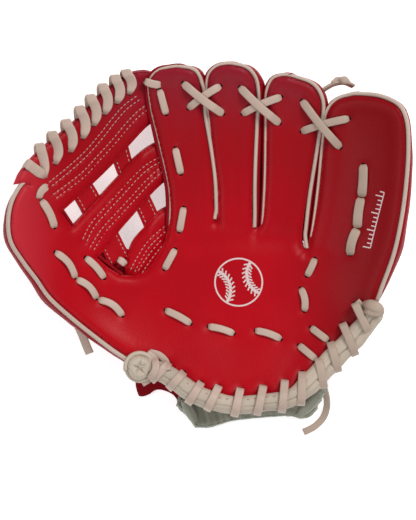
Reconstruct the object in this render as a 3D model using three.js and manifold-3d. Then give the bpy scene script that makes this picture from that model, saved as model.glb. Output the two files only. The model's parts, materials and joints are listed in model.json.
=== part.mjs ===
// Five-finger fielder's glove for the left hand, lying on its back with the pocket facing up.
// Millimetres, +Z up, fingers towards +Y, thumb towards -X.
import * as THREE from 'three';
import { mergeVertices } from 'three/addons/utils/BufferGeometryUtils.js';
import Module from 'manifold-3d';

const wasm = await Module();
wasm.setup();

// Driving dimensions.
const POCKET_Z = 37; // height of the palm leather at the bottom of the pocket
const LEATHER = 2.8; // palm leather
const BACK = 2.4; // back leather
const PAD = 6; // felt pad under the palm leather
const LINING = 1.6; // soft lining leather
const GAP = 0.4; // clearance between pieces that touch
const LACE_W = 5.6;
const LACE_T = 1.8;
const PIPE_R = 1.5;
const ROLL_R = 4.6; // rolled heel binding
const SEAM = 7.6; // depth of the finger seam below the front leather
const MIDDLE = [2.5, 0.5]; // plan position of the glove's middle in the layout below
const CELL = 14; // spacing of the surface grid

// ---- the open shape of the glove -------------------------------------------------------------

const rise = (distance, span, lift) => lift * (Math.max(0, distance) / span) ** 2;

// Outer face of the palm leather: a shallow bowl that climbs to thumb, little finger, tips and heel.
const front = (x, y) =>
  POCKET_Z + rise(-x - 35, 110, 50) + rise(x - 62, 86, 32) + rise(y - 5, 128, 22) + rise(-y - 35, 75, 18);

// Outer face of the back leather: flat under the hand, climbing after the knuckles.
const back = (x, y) => rise(-x - 42, 104, 56) + rise(x - 72, 78, 24) + rise(y - 28, 106, 28);

const steepness = (x, y) => {
  const alongX = front(x + 0.5, y) - front(x - 0.5, y);
  const alongY = front(x, y + 0.5) - front(x, y - 0.5);
  return Math.hypot(1, alongX, alongY);
};

// A level measured square to the palm leather; positive is above it.
const level = (x, y, height) => front(x, y) + height * steepness(x, y);

// ---- solids ----------------------------------------------------------------------------------

const toManifold = (geometry) => {
  const bare = geometry.clone();
  bare.deleteAttribute('normal');
  bare.deleteAttribute('uv');
  const merged = mergeVertices(bare, 1e-4);
  return new wasm.Manifold(new wasm.Mesh({
    numProp: 3,
    vertProperties: new Float32Array(merged.attributes.position.array),
    triVerts: new Uint32Array(merged.index.array),
  }));
};

const toGeometry = (manifold) => {
  const mesh = manifold.getMesh();
  const geometry = new THREE.BufferGeometry();
  geometry.setAttribute('position', new THREE.BufferAttribute(new Float32Array(mesh.vertProperties), 3));
  geometry.setIndex(new THREE.BufferAttribute(new Uint32Array(mesh.triVerts), 1));
  return geometry;
};

// Closed body from points and quads; coincident points are welded and the faces turned outwards.
const closedBody = (points, quads) => {
  const seen = new Map();
  const kept = [];
  const weld = points.map((p) => {
    const key = `${Math.round(p.x * 1e3)},${Math.round(p.y * 1e3)},${Math.round(p.z * 1e3)}`;
    if (!seen.has(key)) {
      seen.set(key, kept.length);
      kept.push(p);
    }
    return seen.get(key);
  });
  const faces = [];
  let volume = 0;
  const addFace = (a, b, c) => {
    if (a === b || b === c || a === c) return;
    faces.push([a, b, c]);
    volume += kept[a].dot(new THREE.Vector3().crossVectors(kept[b], kept[c]));
  };
  for (const quad of quads) {
    const [a, b, c, d] = quad.map((i) => weld[i]);
    addFace(a, b, c);
    addFace(a, c, d);
  }
  const triangles = faces.flatMap(([a, b, c]) => (volume > 0 ? [a, b, c] : [a, c, b]));
  return new wasm.Manifold(new wasm.Mesh({
    numProp: 3,
    vertProperties: new Float32Array(kept.flatMap((p) => [p.x, p.y, p.z])),
    triVerts: new Uint32Array(triangles),
  }));
};

// Body between two sheets sampled on the same grid of (rows + 1) x (columns + 1) points.
const between = (rows, columns, upper, lower) => {
  const points = [];
  for (const sheet of [upper, lower]) {
    for (let i = 0; i <= rows; i += 1) {
      for (let j = 0; j <= columns; j += 1) points.push(sheet(i, j));
    }
  }
  const at = (k, i, j) => (k * (rows + 1) + i) * (columns + 1) + j;
  const quads = [];
  for (let i = 0; i < rows; i += 1) {
    for (let j = 0; j < columns; j += 1) {
      quads.push([at(0, i, j), at(0, i + 1, j), at(0, i + 1, j + 1), at(0, i, j + 1)]);
      quads.push([at(1, i, j), at(1, i, j + 1), at(1, i + 1, j + 1), at(1, i + 1, j)]);
    }
  }
  for (let i = 0; i < rows; i += 1) {
    quads.push([at(0, i, 0), at(1, i, 0), at(1, i + 1, 0), at(0, i + 1, 0)]);
    quads.push([at(0, i + 1, columns), at(1, i + 1, columns), at(1, i, columns), at(0, i, columns)]);
  }
  for (let j = 0; j < columns; j += 1) {
    quads.push([at(0, 0, j + 1), at(1, 0, j + 1), at(1, 0, j), at(0, 0, j)]);
    quads.push([at(0, rows, j), at(1, rows, j), at(1, rows, j + 1), at(0, rows, j + 1)]);
  }
  return closedBody(points, quads);
};

// Sheet of leather filling a plan outline between two heights given as functions of x and y.
const sheetIn = (outline, top, bottom, cell = CELL) => {
  const { min, max } = outline.boundingBox();
  const x0 = Math.floor(min[0] / cell) * cell - cell;
  const y0 = Math.floor(min[1] / cell) * cell - cell;
  const rows = Math.ceil((max[0] - x0) / cell) + 1;
  const columns = Math.ceil((max[1] - y0) / cell) + 1;
  const sheet = (height) => (i, j) => {
    const x = x0 + i * cell;
    const y = y0 + j * cell;
    return new THREE.Vector3(x, y, height(x, y));
  };
  return between(rows, columns, sheet(top), sheet(bottom)).intersect(outline);
};

// Upright prism on a plan outline.
const plan = (points, z0 = -30, z1 = 150) => {
  const shape = new THREE.Shape(points.map(([x, y]) => new THREE.Vector2(x, y)));
  const geometry = new THREE.ExtrudeGeometry(shape, { depth: z1 - z0, bevelEnabled: false });
  geometry.translate(0, 0, z0);
  return toManifold(geometry);
};

const smooth = (points, pieces) => {
  const flat = points.map(([x, y]) => new THREE.Vector3(x, y, 0));
  const curve = new THREE.CatmullRomCurve3(flat, false, 'centripetal');
  return curve.getPoints(pieces).map((p) => [p.x, p.y]);
};

// Leather lying at a given depth under the palm face.
const layer = (outline, depth, thickness) =>
  sheetIn(outline, (x, y) => level(x, y, -depth), (x, y) => level(x, y, -depth - thickness));

// ---- laces, piping and rolls -----------------------------------------------------------------

// Flat strap through a run of stations, each holding a point and the direction across the strap.
const strap = (stations, width = LACE_W, thickness = LACE_T) => {
  const points = [];
  stations.forEach(({ at, across }, i) => {
    const before = stations[Math.max(0, i - 1)].at;
    const after = stations[Math.min(stations.length - 1, i + 1)].at;
    const along = new THREE.Vector3().subVectors(after, before).normalize();
    const side = across.clone().addScaledVector(along, -across.dot(along)).normalize();
    const normal = new THREE.Vector3().crossVectors(along, side);
    for (const [s, n] of [[-1, -1], [1, -1], [1, 1], [-1, 1]]) {
      points.push(at.clone().addScaledVector(side, s * width / 2).addScaledVector(normal, n * thickness / 2));
    }
  });
  const quads = [[3, 2, 1, 0]];
  for (let i = 0; i < stations.length - 1; i += 1) {
    for (let k = 0; k < 4; k += 1) {
      const next = (k + 1) % 4;
      quads.push([i * 4 + k, i * 4 + next, i * 4 + 4 + next, i * 4 + 4 + k]);
    }
  }
  const last = (stations.length - 1) * 4;
  quads.push([last, last + 1, last + 2, last + 3]);
  return closedBody(points, quads);
};

// The same strap made fatter, for cutting the slots it passes through.
const slot = (stations, width = LACE_W, thickness = LACE_T) =>
  strap(stations, width + 4 * GAP, thickness + 3 * GAP);

const station = (x, y, z, across) => ({ at: new THREE.Vector3(x, y, z), across });

// Running stitch: shows on the palm between the two holes of each pair, hidden between pairs.
const ON = 1.6;
const DEEP = 6.4;
const stitched = (pairs) => pairs.flatMap(([[ax, ay], [bx, by]]) => {
  const length = Math.hypot(bx - ax, by - ay);
  const ux = (bx - ax) / length;
  const uy = (by - ay) / length;
  const across = new THREE.Vector3(-uy, ux, 0);
  const place = (distance, height) => {
    const x = ax + ux * distance;
    const y = ay + uy * distance;
    return station(x, y, level(x, y, height), across);
  };
  return [
    place(1.2, -DEEP),
    place(0, -1.5),
    place(1.2, ON),
    place(length / 2, ON + 0.3),
    place(length - 1.2, ON),
    place(length, -1.5),
    place(length - 1.2, -DEEP),
  ];
});

const curve3 = (points) => new THREE.CatmullRomCurve3(points, false, 'centripetal');
const onPalm = (points, height) => {
  const raised = points.map(([x, y]) => new THREE.Vector3(x, y, level(x, y, height)));
  return curve3(raised);
};

// Lace wound round an edge. The loop is given in the edge's own plane as [inwards, up] offsets.
const wound = (edge, turns, loop, inward, start = 0.02, end = 0.98) => {
  const stations = [];
  for (let k = 0; k < turns; k += 1) {
    loop.forEach(([inside, up], i) => {
      const share = (k + i / loop.length) / turns;
      const t = start + (end - start) * share;
      const at = edge.getPointAt(t);
      const along = edge.getTangentAt(t);
      const inwards = new THREE.Vector3(-along.y, along.x, 0).normalize().multiplyScalar(inward);
      const x = at.x + inwards.x * inside;
      const y = at.y + inwards.y * inside;
      const lift = front(x, y) - front(at.x, at.y);
      const follow = inside > 3 ? lift : 0;
      stations.push(station(x, y, at.z + up + follow, along.clone()));
    });
  }
  return stations;
};

// Round bar along a curve; the section has twice as many sides as the quarter count given.
const tube = (curve, radius, steps, halfSides = 3) => {
  const circle = new THREE.Shape();
  circle.absarc(0, 0, radius, 0, 2 * Math.PI, false);
  const geometry = new THREE.ExtrudeGeometry(circle, {
    steps, extrudePath: curve, bevelEnabled: false, curveSegments: halfSides,
  });
  return toManifold(geometry);
};

// ---- finger stalls ---------------------------------------------------------------------------

// A stall is set out by its left and right edges, which meet at the tip.
const stall = (left, right) => {
  const leftEdge = curve3(left.map(([x, y]) => new THREE.Vector3(x, y, 0)));
  const rightEdge = curve3(right.map(([x, y]) => new THREE.Vector3(x, y, 0)));
  return {
    leftEdge,
    rightEdge,
    outline: plan([
      ...leftEdge.getPoints(14).map((p) => [p.x, p.y]),
      ...rightEdge.getPoints(14).reverse().slice(1).map((p) => [p.x, p.y]),
    ]),
  };
};

const FINGERS = {
  thumb: stall(
    [[-59, -82], [-87, -61], [-116, -33], [-141, 2], [-145, 17], [-140, 31], [-131, 42], [-126, 44]],
    [[-45, -22], [-64, -21], [-85, -8], [-100, 13], [-112, 31], [-119, 41], [-126, 44]],
  ),
  index: stall(
    [[-28, 12], [-28, 40], [-36, 78], [-42, 104], [-43, 122], [-36, 130], [-22, 132.5]],
    [[6, 12], [5, 48], [2, 72], [-2, 95], [-4, 117], [-9, 129], [-22, 132.5]],
  ),
  middle: stall(
    [[8.5, 12], [8, 45], [5, 65], [2.5, 90], [0.5, 110], [2, 127], [9, 133], [18, 134]],
    [[34.5, 12], [34.5, 50], [36, 90], [37, 112], [35, 124], [29, 131], [18, 134]],
  ),
  ring: stall(
    [[38.5, 4], [41, 27], [43.5, 55], [44, 90], [45, 115], [50, 124], [60, 126]],
    [[71.5, 4], [75, 36], [79, 62], [83, 88], [85, 106], [79, 118], [60, 126]],
  ),
  little: stall(
    [[76, -8], [80, 14], [84, 46], [87, 78], [90, 100], [97, 110], [110, 112.5]],
    [[133, -26], [141, -5], [146, 25], [149, 60], [148, 88], [142, 102], [128, 110], [110, 112.5]],
  ),
};

// Back shell of a stall: a hollow channel hanging from the seam down to the back face.
const backShell = ({ leftEdge, rightEdge }, inset = 0.6, rows = 9, columns = 6) => {
  const surface = (inwards) => (i, j) => {
    const t = 1 - (1 - i / rows) ** 1.6;
    const a = leftEdge.getPointAt(Math.min(t, 1));
    const b = rightEdge.getPointAt(Math.min(t, 1));
    const width = Math.max(a.distanceTo(b), 1e-6);
    const s = Math.sin((j / columns - 0.5) * Math.PI);
    const half = Math.max(width / 2 - inset - inwards, 0);
    const middle = a.clone().add(b).multiplyScalar(0.5);
    const across = b.clone().sub(a).divideScalar(width);
    const x = middle.x + across.x * s * half;
    const y = middle.y + across.y * s * half - inwards * t ** 8;
    const hang = Math.min(1, 1.15 * Math.sqrt(Math.max(0, 1 - s ** 4))) * Math.sqrt(1 - t ** 5);
    const rim = level(x, y, -SEAM);
    const deep = Math.min(back(x, y) + inwards, rim);
    return new THREE.Vector3(x, y, rim + (deep - rim) * hang);
  };
  return between(rows, columns, surface(BACK), surface(0));
};

const seamCurve = ({ leftEdge, rightEdge }, from = 0.05, to = 0.05, inset = 0.9) => {
  const points = [];
  const take = (edge, t, other) => {
    const p = edge.getPointAt(t);
    const toward = other.getPointAt(t).sub(p);
    const step = Math.min(inset, toward.length() / 2);
    p.addScaledVector(toward.normalize(), step);
    points.push(new THREE.Vector3(p.x, p.y, level(p.x, p.y, -(LEATHER + SEAM) / 2)));
  };
  for (let k = 0; k <= 8; k += 1) take(leftEdge, from + (0.95 - from) * k / 8, rightEdge);
  for (let k = 8; k >= 0; k -= 1) take(rightEdge, to + (0.95 - to) * k / 8, leftEdge);
  return curve3(points);
};

// ---- plan outlines ---------------------------------------------------------------------------

// The glove folds along the thumb side of the pocket, and beside the little finger.
const HEEL = [[128, -45], [112, -64], [92, -84], [76, -101], [62, -112], [43, -115], [24, -117],
  [8, -115], [-9, -109], [-30, -95], [-50, -88]];
const HEEL_LEFT = HEEL.slice(4);

const palmOutline = plan([
  [-57, -84], [-47, -62], [-43, -22], [-36, -8], [-29, 8], [-28, 20], [6, 20], [7, 14], [9, 20], [34.5, 20],
  [36.5, 9], [39, 13], [72, 12], [75, -1], [66, -31], [61, -107],
  ...smooth(HEEL_LEFT, 14).slice(1),
]);
const littleOutline = plan([
  [75.2, -1.5], [77, 4], [80, 10], [142, 0], [134, -26],
  ...smooth(HEEL.slice(0, 5), 8), [62, -107], [67, -31],
]);
const thumbOutline = plan([
  [-58.5, -83.5], [-48.5, -61.5], [-44.5, -22], [-64, -21.4], [-85, -30], [-87, -60.6],
]);

const webTop = plan([
  ...smooth([[-136, 47], [-130, 63], [-106, 84], [-87, 104], [-70, 119], [-58, 127.5], [-46, 127]], 14),
  [-44.5, 112], [-41, 94],
  ...smooth([[-41, 92], [-55, 77], [-80, 50], [-104, 27], [-113, 36], [-121, 46.5], [-129, 48.5]], 12),
]);
const webMiddle = plan([
  ...smooth([[-98, 13.5], [-77, 39], [-53, 66.5], [-38, 77]], 8),
  ...smooth([[-31.5, 50], [-42, 38], [-55, 21.5], [-65, 11.5], [-82, -6]], 8),
]);
const webBottom = plan([
  ...smooth([[-64, -19], [-64, -10], [-56, 4], [-45, 14.5], [-34, 26]], 8),
  [-29.5, 30], [-30, 12],
  ...smooth([[-31, 7], [-37, -6], [-44.5, -14], [-54, -20]], 5),
]);

// ---- lacing patterns -------------------------------------------------------------------------

const PALM_STITCHES = [[[-30, -48], [-12, -57.5]], [[2, -60], [20, -65]], [[37, -63], [55, -69]]];
const THUMB_ROW = [[[-111, -5], [-98, -21]], [[-94.5, -25.5], [-83, -36]], [[-77.5, -41], [-63, -51]]];
const WEB_THUMB_ROW = [[[-121, 33], [-112, 14]], [[-90, -12], [-76, -25]]];
const INDEX_ROW = [
  [[-35, 102], [-29, 82]], [[-23, 72], [-19, 54]], [[-17, 28], [-20, 11]], [[-23.5, -3], [-31, -17]],
];
const LITTLE_ROW = [[[114, 60], [113, 39]], [[112, 33.5], [109.5, 16]], [[108, 10.5], [105, -6]]];
const SIDE_ROW = [
  [[80.5, -10], [75, -22]], [[70.5, -32], [73, -48]], [[79, -59.5], [90, -68]], [[68.5, -73], [77, -78]],
];

// Two straps crossing over the gap between neighbouring fingers: [under strap, over strap].
const CROSSES = {
  index_middle: [[[-13, 102], [10, 118]], [[-17, 120], [12, 98]]],
  middle_ring: [[[27, 98], [55, 110]], [[25, 117], [54, 91]]],
  ring_little: [[[71, 85], [105, 94]], [[71, 107], [99, 73]]],
};
const crossing = ([[ax, ay], [bx, by]], rideOver) => {
  const length = Math.hypot(bx - ax, by - ay);
  const across = new THREE.Vector3(-(by - ay) / length, (bx - ax) / length, 0);
  const place = (share, height) => {
    const x = ax + (bx - ax) * share;
    const y = ay + (by - ay) * share;
    return station(x, y, level(x, y, height), across);
  };
  const inset = 1.2 / length;
  return [
    place(inset, -6), place(0, -1.5), place(inset, ON),
    place(0.28, ON + rideOver), place(0.5, ON + rideOver + 0.3),
    place(0.72, ON + rideOver), place(1 - inset, ON), place(1, -1.5), place(1 - inset, -6),
  ];
};

// ---- heel binding, its lace, and the web's wrapped edge --------------------------------------

const heelCurve = onPalm(HEEL, -1);
const FOLD_SHARE = 0.442; // where the fold beside the little finger crosses the binding
const FOLD_ROOM = 0.014; // share of the binding left open on each side of that fold
const rollPart = (from, to) => {
  const points = [];
  for (let k = 0; k <= 12; k += 1) points.push(heelCurve.getPointAt(from + (to - from) * k / 12));
  return curve3(points);
};
const littleRollCurve = rollPart(0.02, FOLD_SHARE - FOLD_ROOM);
const palmRollCurve = rollPart(FOLD_SHARE + FOLD_ROOM, 0.945);
const ROLL_LOOP = [
  [10, -6], [11, 1.6], [6, 6], [0, 7.6], [-5.6, 5.2], [-7.6, 0], [-5.6, -5.4], [0, -7.8], [6, -8],
];
const EDGE_LOOP = [[13, -5], [14, 1.8], [5, 2], [-1.5, 1.2], [-3.2, -2], [-1, -5.6], [6, -6]];

const littleHeelLace = wound(littleRollCurve, 5, ROLL_LOOP, -1, 0.04, 0.95);
const palmHeelLace = wound(palmRollCurve, 7, ROLL_LOOP, -1, 0.04, 0.96);
const webEdge = onPalm([
  [-129, 57], [-124, 69], [-106, 84], [-87, 104], [-70, 119], [-58, 127], [-49, 128],
], 0);
const webWrap = wound(webEdge, 9, EDGE_LOOP, -1, 0.01, 0.99);

// ---- build -----------------------------------------------------------------------------------

const bodies = {};
const put = (name, manifold, colour, roughness = 0.5) => {
  bodies[name] = { manifold, colour, roughness };
};
const RED = 0xa8141f;
const MAROON = 0x86202b;
const CREAM = 0xddcabc;
const BEIGE = 0xc8bfa8;
const FELT = 0xb9b2a2;
const GREY = 0x9a9f90;

const stitchRows = {
  palm_lace: stitched(PALM_STITCHES),
  index_lace: stitched(INDEX_ROW),
  thumb_row_lace: stitched(THUMB_ROW),
  web_thumb_lace_upper: stitched([WEB_THUMB_ROW[0]]),
  web_thumb_lace_lower: stitched([WEB_THUMB_ROW[1]]),
  little_finger_lace: stitched(LITTLE_ROW),
  side_lace_upper: stitched(SIDE_ROW.slice(0, 2)),
  side_lace_middle: stitched([SIDE_ROW[2]]),
  side_lace_lower: stitched([SIDE_ROW[3]]),
};
for (const [pair, [under, over]] of Object.entries(CROSSES)) {
  stitchRows[`${pair}_lace_under`] = crossing(under, 0.2);
  stitchRows[`${pair}_lace_over`] = crossing(over, 3.5);
}
stitchRows.heel_lace = palmHeelLace;
stitchRows.little_heel_lace = littleHeelLace;
stitchRows.web_edge_lace = webWrap;

const slots = Object.values(stitchRows).map((stations) => slot(stations));
const pierced = (manifold) => slots.reduce((solid, cutter) => solid.subtract(cutter), manifold);
const wideSlots = Object.values(stitchRows).map((stations) => slot(stations, LACE_W + 3.2, LACE_T + 4.4));
const channelled = (manifold) => wideSlots.reduce((solid, cutter) => solid.subtract(cutter), manifold);

const littleRoll = tube(littleRollCurve, ROLL_R, 8, 4);
const palmRoll = tube(palmRollCurve, ROLL_R, 14, 4);
const rollRoom = tube(heelCurve, ROLL_R + 2 * GAP, 18, 4);

// Turned body standing on a point, its axis along a given direction.
const turned = (profile, at, axis, sides = 12) => {
  const geometry = new THREE.LatheGeometry(profile.map(([r, h]) => new THREE.Vector2(r, h)), sides);
  const stand = new THREE.Vector3(0, 1, 0);
  geometry.applyQuaternion(new THREE.Quaternion().setFromUnitVectors(stand, axis.normalize()));
  geometry.translate(at.x, at.y, at.z);
  return toManifold(geometry);
};

// The binding is rolled up at its thumb end and tied off there.
const coilAt = heelCurve.getPointAt(1).add(new THREE.Vector3(-3.5, -2, -3));
const coilAxis = new THREE.Vector3(-0.3, 0.1, 1);
const coilProfile = (grow) => [
  [0, -grow], [6.2 + grow, -grow], [8.2 + grow, 2], [8.4 + grow, 7], [6.4 + grow, 9.4 + grow], [0, 9.8 + grow],
];
const coilRoom = turned(coilProfile(3 * GAP), coilAt, coilAxis);

// Front leather in three fields, parted at the two folds.
const { thumb, index, middle, ring, little } = FINGERS;
const palmField = palmOutline.add(index.outline).add(middle.outline).add(ring.outline);
const thumbField = thumb.outline.add(thumbOutline).subtract(webTop);
const littleField = little.outline.add(littleOutline);
const webField = (outline) => layer(outline, 0.2, 3.4);
put('palm_front', pierced(layer(palmField, 0, LEATHER)).subtract(rollRoom).subtract(coilRoom), RED);
put('thumb_front', pierced(layer(thumbField, 0, LEATHER)).subtract(coilRoom), RED);
put('little_front', pierced(layer(littleField, 0, LEATHER)).subtract(rollRoom), RED);

// Finger backs, and the welt that closes each finger seam.
for (const [name, finger] of Object.entries(FINGERS)) {
  put(`${name}_back`, pierced(backShell(finger)), MAROON);
}
put('thumb_welt', pierced(tube(seamCurve(thumb, 0.06, 0.12), PIPE_R, 18)), BEIGE);
put('index_welt', pierced(tube(seamCurve(index), PIPE_R, 18)), BEIGE);
put('middle_welt', pierced(tube(seamCurve(middle), PIPE_R, 18)), BEIGE);
put('ring_welt', pierced(tube(seamCurve(ring), PIPE_R, 18)), BEIGE);
put('little_welt', pierced(tube(seamCurve(little), PIPE_R, 18)), BEIGE);

// Back of the hand, from the knuckles to the wrist, flat where the glove rests.
const handOutline = plan([
  [-44, -20], [-38, 0], [-28, 11.4], [34, 11.4], [35, 3.4], [72, 3.4], [72, -10], [68, -34], [66, -100],
  [30, -104], [-16, -104], [-21, -117], [-37, -108], [-50, -112], [-53, -100], [-46, -62],
]);
put('hand_back', sheetIn(handOutline, () => BACK, () => 0), MAROON);

// Soft layers inside the hand: pads under the palm leather, then the lining next to the skin.
const padTop = LEATHER + GAP;
const padOutline = (points, steps) => plan(smooth([...points, points[0]], steps).slice(1));
const palmPadOutline = padOutline([
  [-30, -42], [-26, -10], [-10, 2], [22, 2], [50, -1], [58, -20], [50, -44], [10, -52],
], 26);
const heelPadOutline = padOutline([
  [-40, -68], [-20, -63], [-4, -67], [20, -71], [38, -75], [54, -79], [50, -88], [36, -94],
  [10, -94], [-14, -84], [-36, -74],
], 26);
const thumbPadOutline = padOutline([
  [-56, -66], [-54, -34], [-76, -27], [-96, -2], [-112, 14], [-118, -8], [-100, -36], [-78, -56],
], 24);
const littlePadOutline = padOutline([
  [84, -6], [84, -40], [98, -46], [118, -30], [130, 4], [128, 34], [110, 40], [94, 20],
], 24);
put('palm_pad', channelled(layer(palmPadOutline, padTop, PAD)), FELT, 0.95);
put('heel_pad', channelled(layer(heelPadOutline, padTop, PAD)), FELT, 0.95);
put('thumb_pad', channelled(layer(thumbPadOutline, padTop, PAD)), FELT, 0.95);
put('little_finger_pad', channelled(layer(littlePadOutline, padTop, PAD)), FELT, 0.95);
const liningTop = padTop + PAD + GAP;
const liningOutline = plan([
  [-38, -66], [-34, -8], [-24, 2], [60, 1], [62, -30], [57, -88], [34, -98], [6, -98], [-18, -88],
]);
put('palm_lining', layer(liningOutline, liningTop, LINING), GREY, 0.9);
const backLiningOutline = plan([
  [-40, -60], [-36, -10], [-26, 8], [60, 2], [64, -30], [62, -98], [-14, -102], [-40, -98],
]);
put('back_lining', sheetIn(backLiningOutline, () => BACK + GAP + LINING, () => BACK + GAP), GREY, 0.9);

// Basket web: three bands across, two strips woven behind them.
put('web_top_band', pierced(webField(webTop)), RED);
put('web_middle_band', pierced(webField(webMiddle)), RED);
put('web_bottom_band', pierced(webField(webBottom)), RED);
const webStrip = (from, to, width) => {
  const across = new THREE.Vector3(from[1] - to[1], to[0] - from[0], 0).normalize();
  const stations = [];
  for (let k = 0; k <= 8; k += 1) {
    const x = from[0] + (to[0] - from[0]) * k / 8;
    const y = from[1] + (to[1] - from[1]) * k / 8;
    stations.push(station(x, y, level(x, y, -8), across));
  }
  return strap(stations, width, 2);
};
const strips = {
  web_strip_inner: webStrip([-66, 76], [-44, 22], 13),
  web_strip_outer: webStrip([-88, 46], [-62, 2], 16),
};
for (const [name, manifold] of Object.entries(strips)) put(name, pierced(manifold), RED);

// Laces.
for (const [name, stations] of Object.entries(stitchRows)) put(name, strap(stations), CREAM, 0.6);

// Heel binding in two lengths, parted at the fold beside the little finger.
put('heel_binding', palmRoll, BEIGE, 0.7);
put('little_heel_binding', littleRoll, BEIGE, 0.7);

// Wrist strap with its lining, crossing the back of the wrist below the opening.
const strapShape = (x) => rise(-x + 2, 40, 22) + rise(x - 62, 40, 22);
const strapOutline = plan([
  [-20, -119], [-15, -104.6], [30, -104.6], [68, -104.6], [84, -112], [80, -121],
  ...smooth([[71, -126], [64, -124], [40, -125], [18, -127.5], [3, -133], [-7, -134], [-11, -128]], 12),
]);
const strapLiningOutline = plan([
  [-18, -119], [-12, -106.5], [30, -106.5], [66, -106.5], [80, -112], [77, -120], [64, -122.5], [40, -123.5],
  [18, -126], [3, -131], [-6, -132], [-10, -127],
]);
put('wrist_strap', sheetIn(strapOutline, (x) => strapShape(x) + BACK, (x) => strapShape(x)), MAROON);
put('wrist_strap_lining', sheetIn(strapLiningOutline, (x) => strapShape(x) + BACK + GAP + LINING,
  (x) => strapShape(x) + BACK + GAP), GREY, 0.9);

put('binding_end_coil', turned(coilProfile(0), coilAt, coilAxis), BEIGE, 0.7);
const knot = [[0, 0], [4, 0.6], [5.6, 3], [5, 5.6], [0, 6.4]];
put('little_heel_knot', turned(knot, heelCurve.getPointAt(0).add(new THREE.Vector3(3.2, 3, 6)),
  new THREE.Vector3(0.4, 0.3, 0.8)), CREAM, 0.6);

// Strap through given points, its width along one direction.
const strapAlong = (points, width, thickness, ...across) => {
  const direction = new THREE.Vector3(...across);
  return strap(points.map(([x, y, z]) => station(x, y, z, direction)), width, thickness);
};

// Lace that ties the backs of the ring and little fingers, with its knot behind the tips.
const backLace = [[88, 118, 46], [94, 120.5, 47], [102, 120, 46], [108, 118, 44]];
put('finger_back_lace', strapAlong(backLace, LACE_W, LACE_T, 0, 0, 1), CREAM, 0.6);
const backKnot = [[0, 0], [3, 0.8], [4, 3], [3, 5.2], [0, 6]];
put('finger_back_knot', turned(backKnot, new THREE.Vector3(97, 122.2, 46),
  new THREE.Vector3(0.1, 0.9, 0.2)), CREAM, 0.6);

// End of the thumb lacing, left hanging behind the thumb.
const thumbEnd = [[-93, -62, 36], [-91, -69, 34], [-87, -78, 31]];
put('thumb_lace_end', strapAlong(thumbEnd, LACE_W, LACE_T, 1, 0.3, 0), CREAM, 0.6);

// Loops inside the stalls that hold the thumb and the little finger.
const thumbLoop = [[-72, -56, 14], [-72, -54, 25], [-72, -45, 31], [-72, -36, 25], [-72, -34, 14]];
put('thumb_loop', strapAlong(thumbLoop, 12, 1.6, 1, 0, 0), GREY, 0.9);
const littleLoop = [[100, 8, 17], [101.5, 8, 28], [112, 8, 33], [123, 8, 30], [126, 8, 19]];
put('little_finger_loop', strapAlong(littleLoop, 12, 1.6, 0, 1, 0), GREY, 0.9);

// Loose end of the heel lace, falling from the binding to the ground.
const tail = [
  [88, -106, 20], [90, -113, 13], [90.5, -121, 5], [88, -129, 1.3], [81, -136, 1.3], [73, -140, 1.3],
];
put('heel_lace_tail', strapAlong(tail, LACE_W, LACE_T, 1, -0.4, 0), CREAM, 0.6);

const colourOf = (hex) => new THREE.Color(hex);
const glove = new THREE.Group();
for (const [name, { manifold, colour, roughness }] of Object.entries(bodies)) {
  const material = new THREE.MeshStandardMaterial({ color: colourOf(colour), roughness, metalness: 0 });
  const geometry = toGeometry(manifold);
  geometry.translate(-MIDDLE[0], -MIDDLE[1], 0);
  const mesh = new THREE.Mesh(geometry, material);
  mesh.name = name;
  glove.add(mesh);
}
export default glove;
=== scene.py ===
"""Five-finger fielder's glove, seen from above with the pocket facing up."""
import json
import math

import bpy
import numpy as np
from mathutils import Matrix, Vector
from mathutils.geometry import delaunay_2d_cdt


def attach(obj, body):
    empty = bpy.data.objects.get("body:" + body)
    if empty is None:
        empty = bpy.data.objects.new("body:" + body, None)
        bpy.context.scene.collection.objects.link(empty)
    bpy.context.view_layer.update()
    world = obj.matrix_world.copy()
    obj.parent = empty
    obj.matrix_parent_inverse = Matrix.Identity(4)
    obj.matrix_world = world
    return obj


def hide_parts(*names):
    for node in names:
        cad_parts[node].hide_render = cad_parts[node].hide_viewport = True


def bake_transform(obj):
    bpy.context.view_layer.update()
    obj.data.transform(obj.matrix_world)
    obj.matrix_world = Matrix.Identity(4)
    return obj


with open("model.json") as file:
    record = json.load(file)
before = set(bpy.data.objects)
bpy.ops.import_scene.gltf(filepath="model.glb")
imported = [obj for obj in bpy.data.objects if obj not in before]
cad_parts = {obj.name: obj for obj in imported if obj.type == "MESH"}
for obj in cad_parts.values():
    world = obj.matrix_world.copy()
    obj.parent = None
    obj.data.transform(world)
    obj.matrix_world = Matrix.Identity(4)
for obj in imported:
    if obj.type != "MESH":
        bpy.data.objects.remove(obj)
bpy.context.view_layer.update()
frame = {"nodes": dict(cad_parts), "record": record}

MIDDLE = np.array([2.5, 0.5])  # plan position of the glove's middle in the layout, mm
UP = np.array([0.0, 0.0, 1.0])


def metres(points):
    """Layout millimetres to the frame's metres."""
    p = np.asarray(points, float).copy()
    p[..., :2] -= MIDDLE
    return p / 1000.0


def at(x, y, z):
    return Vector(metres([x, y, z]))


# ---- camera and light ----

scene = bpy.context.scene
camera = bpy.data.objects.new("camera", bpy.data.cameras.new("camera"))
scene.collection.objects.link(camera)
scene.camera = camera
DISTANCE = 3.0
VIEW_CENTRE = at(1.2, -10.5, 52.0)
VIEW_HEIGHT = 0.3848
SENSOR = 36.0
camera.data.sensor_width = SENSOR
camera.data.lens = SENSOR * DISTANCE / VIEW_HEIGHT
camera.location = VIEW_CENTRE + Vector((0, 0, DISTANCE))
camera.data.clip_end = 20
LIGHT_SIZE = 0.9
LIT_POINT = Vector((0, 0, 0.03))


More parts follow.
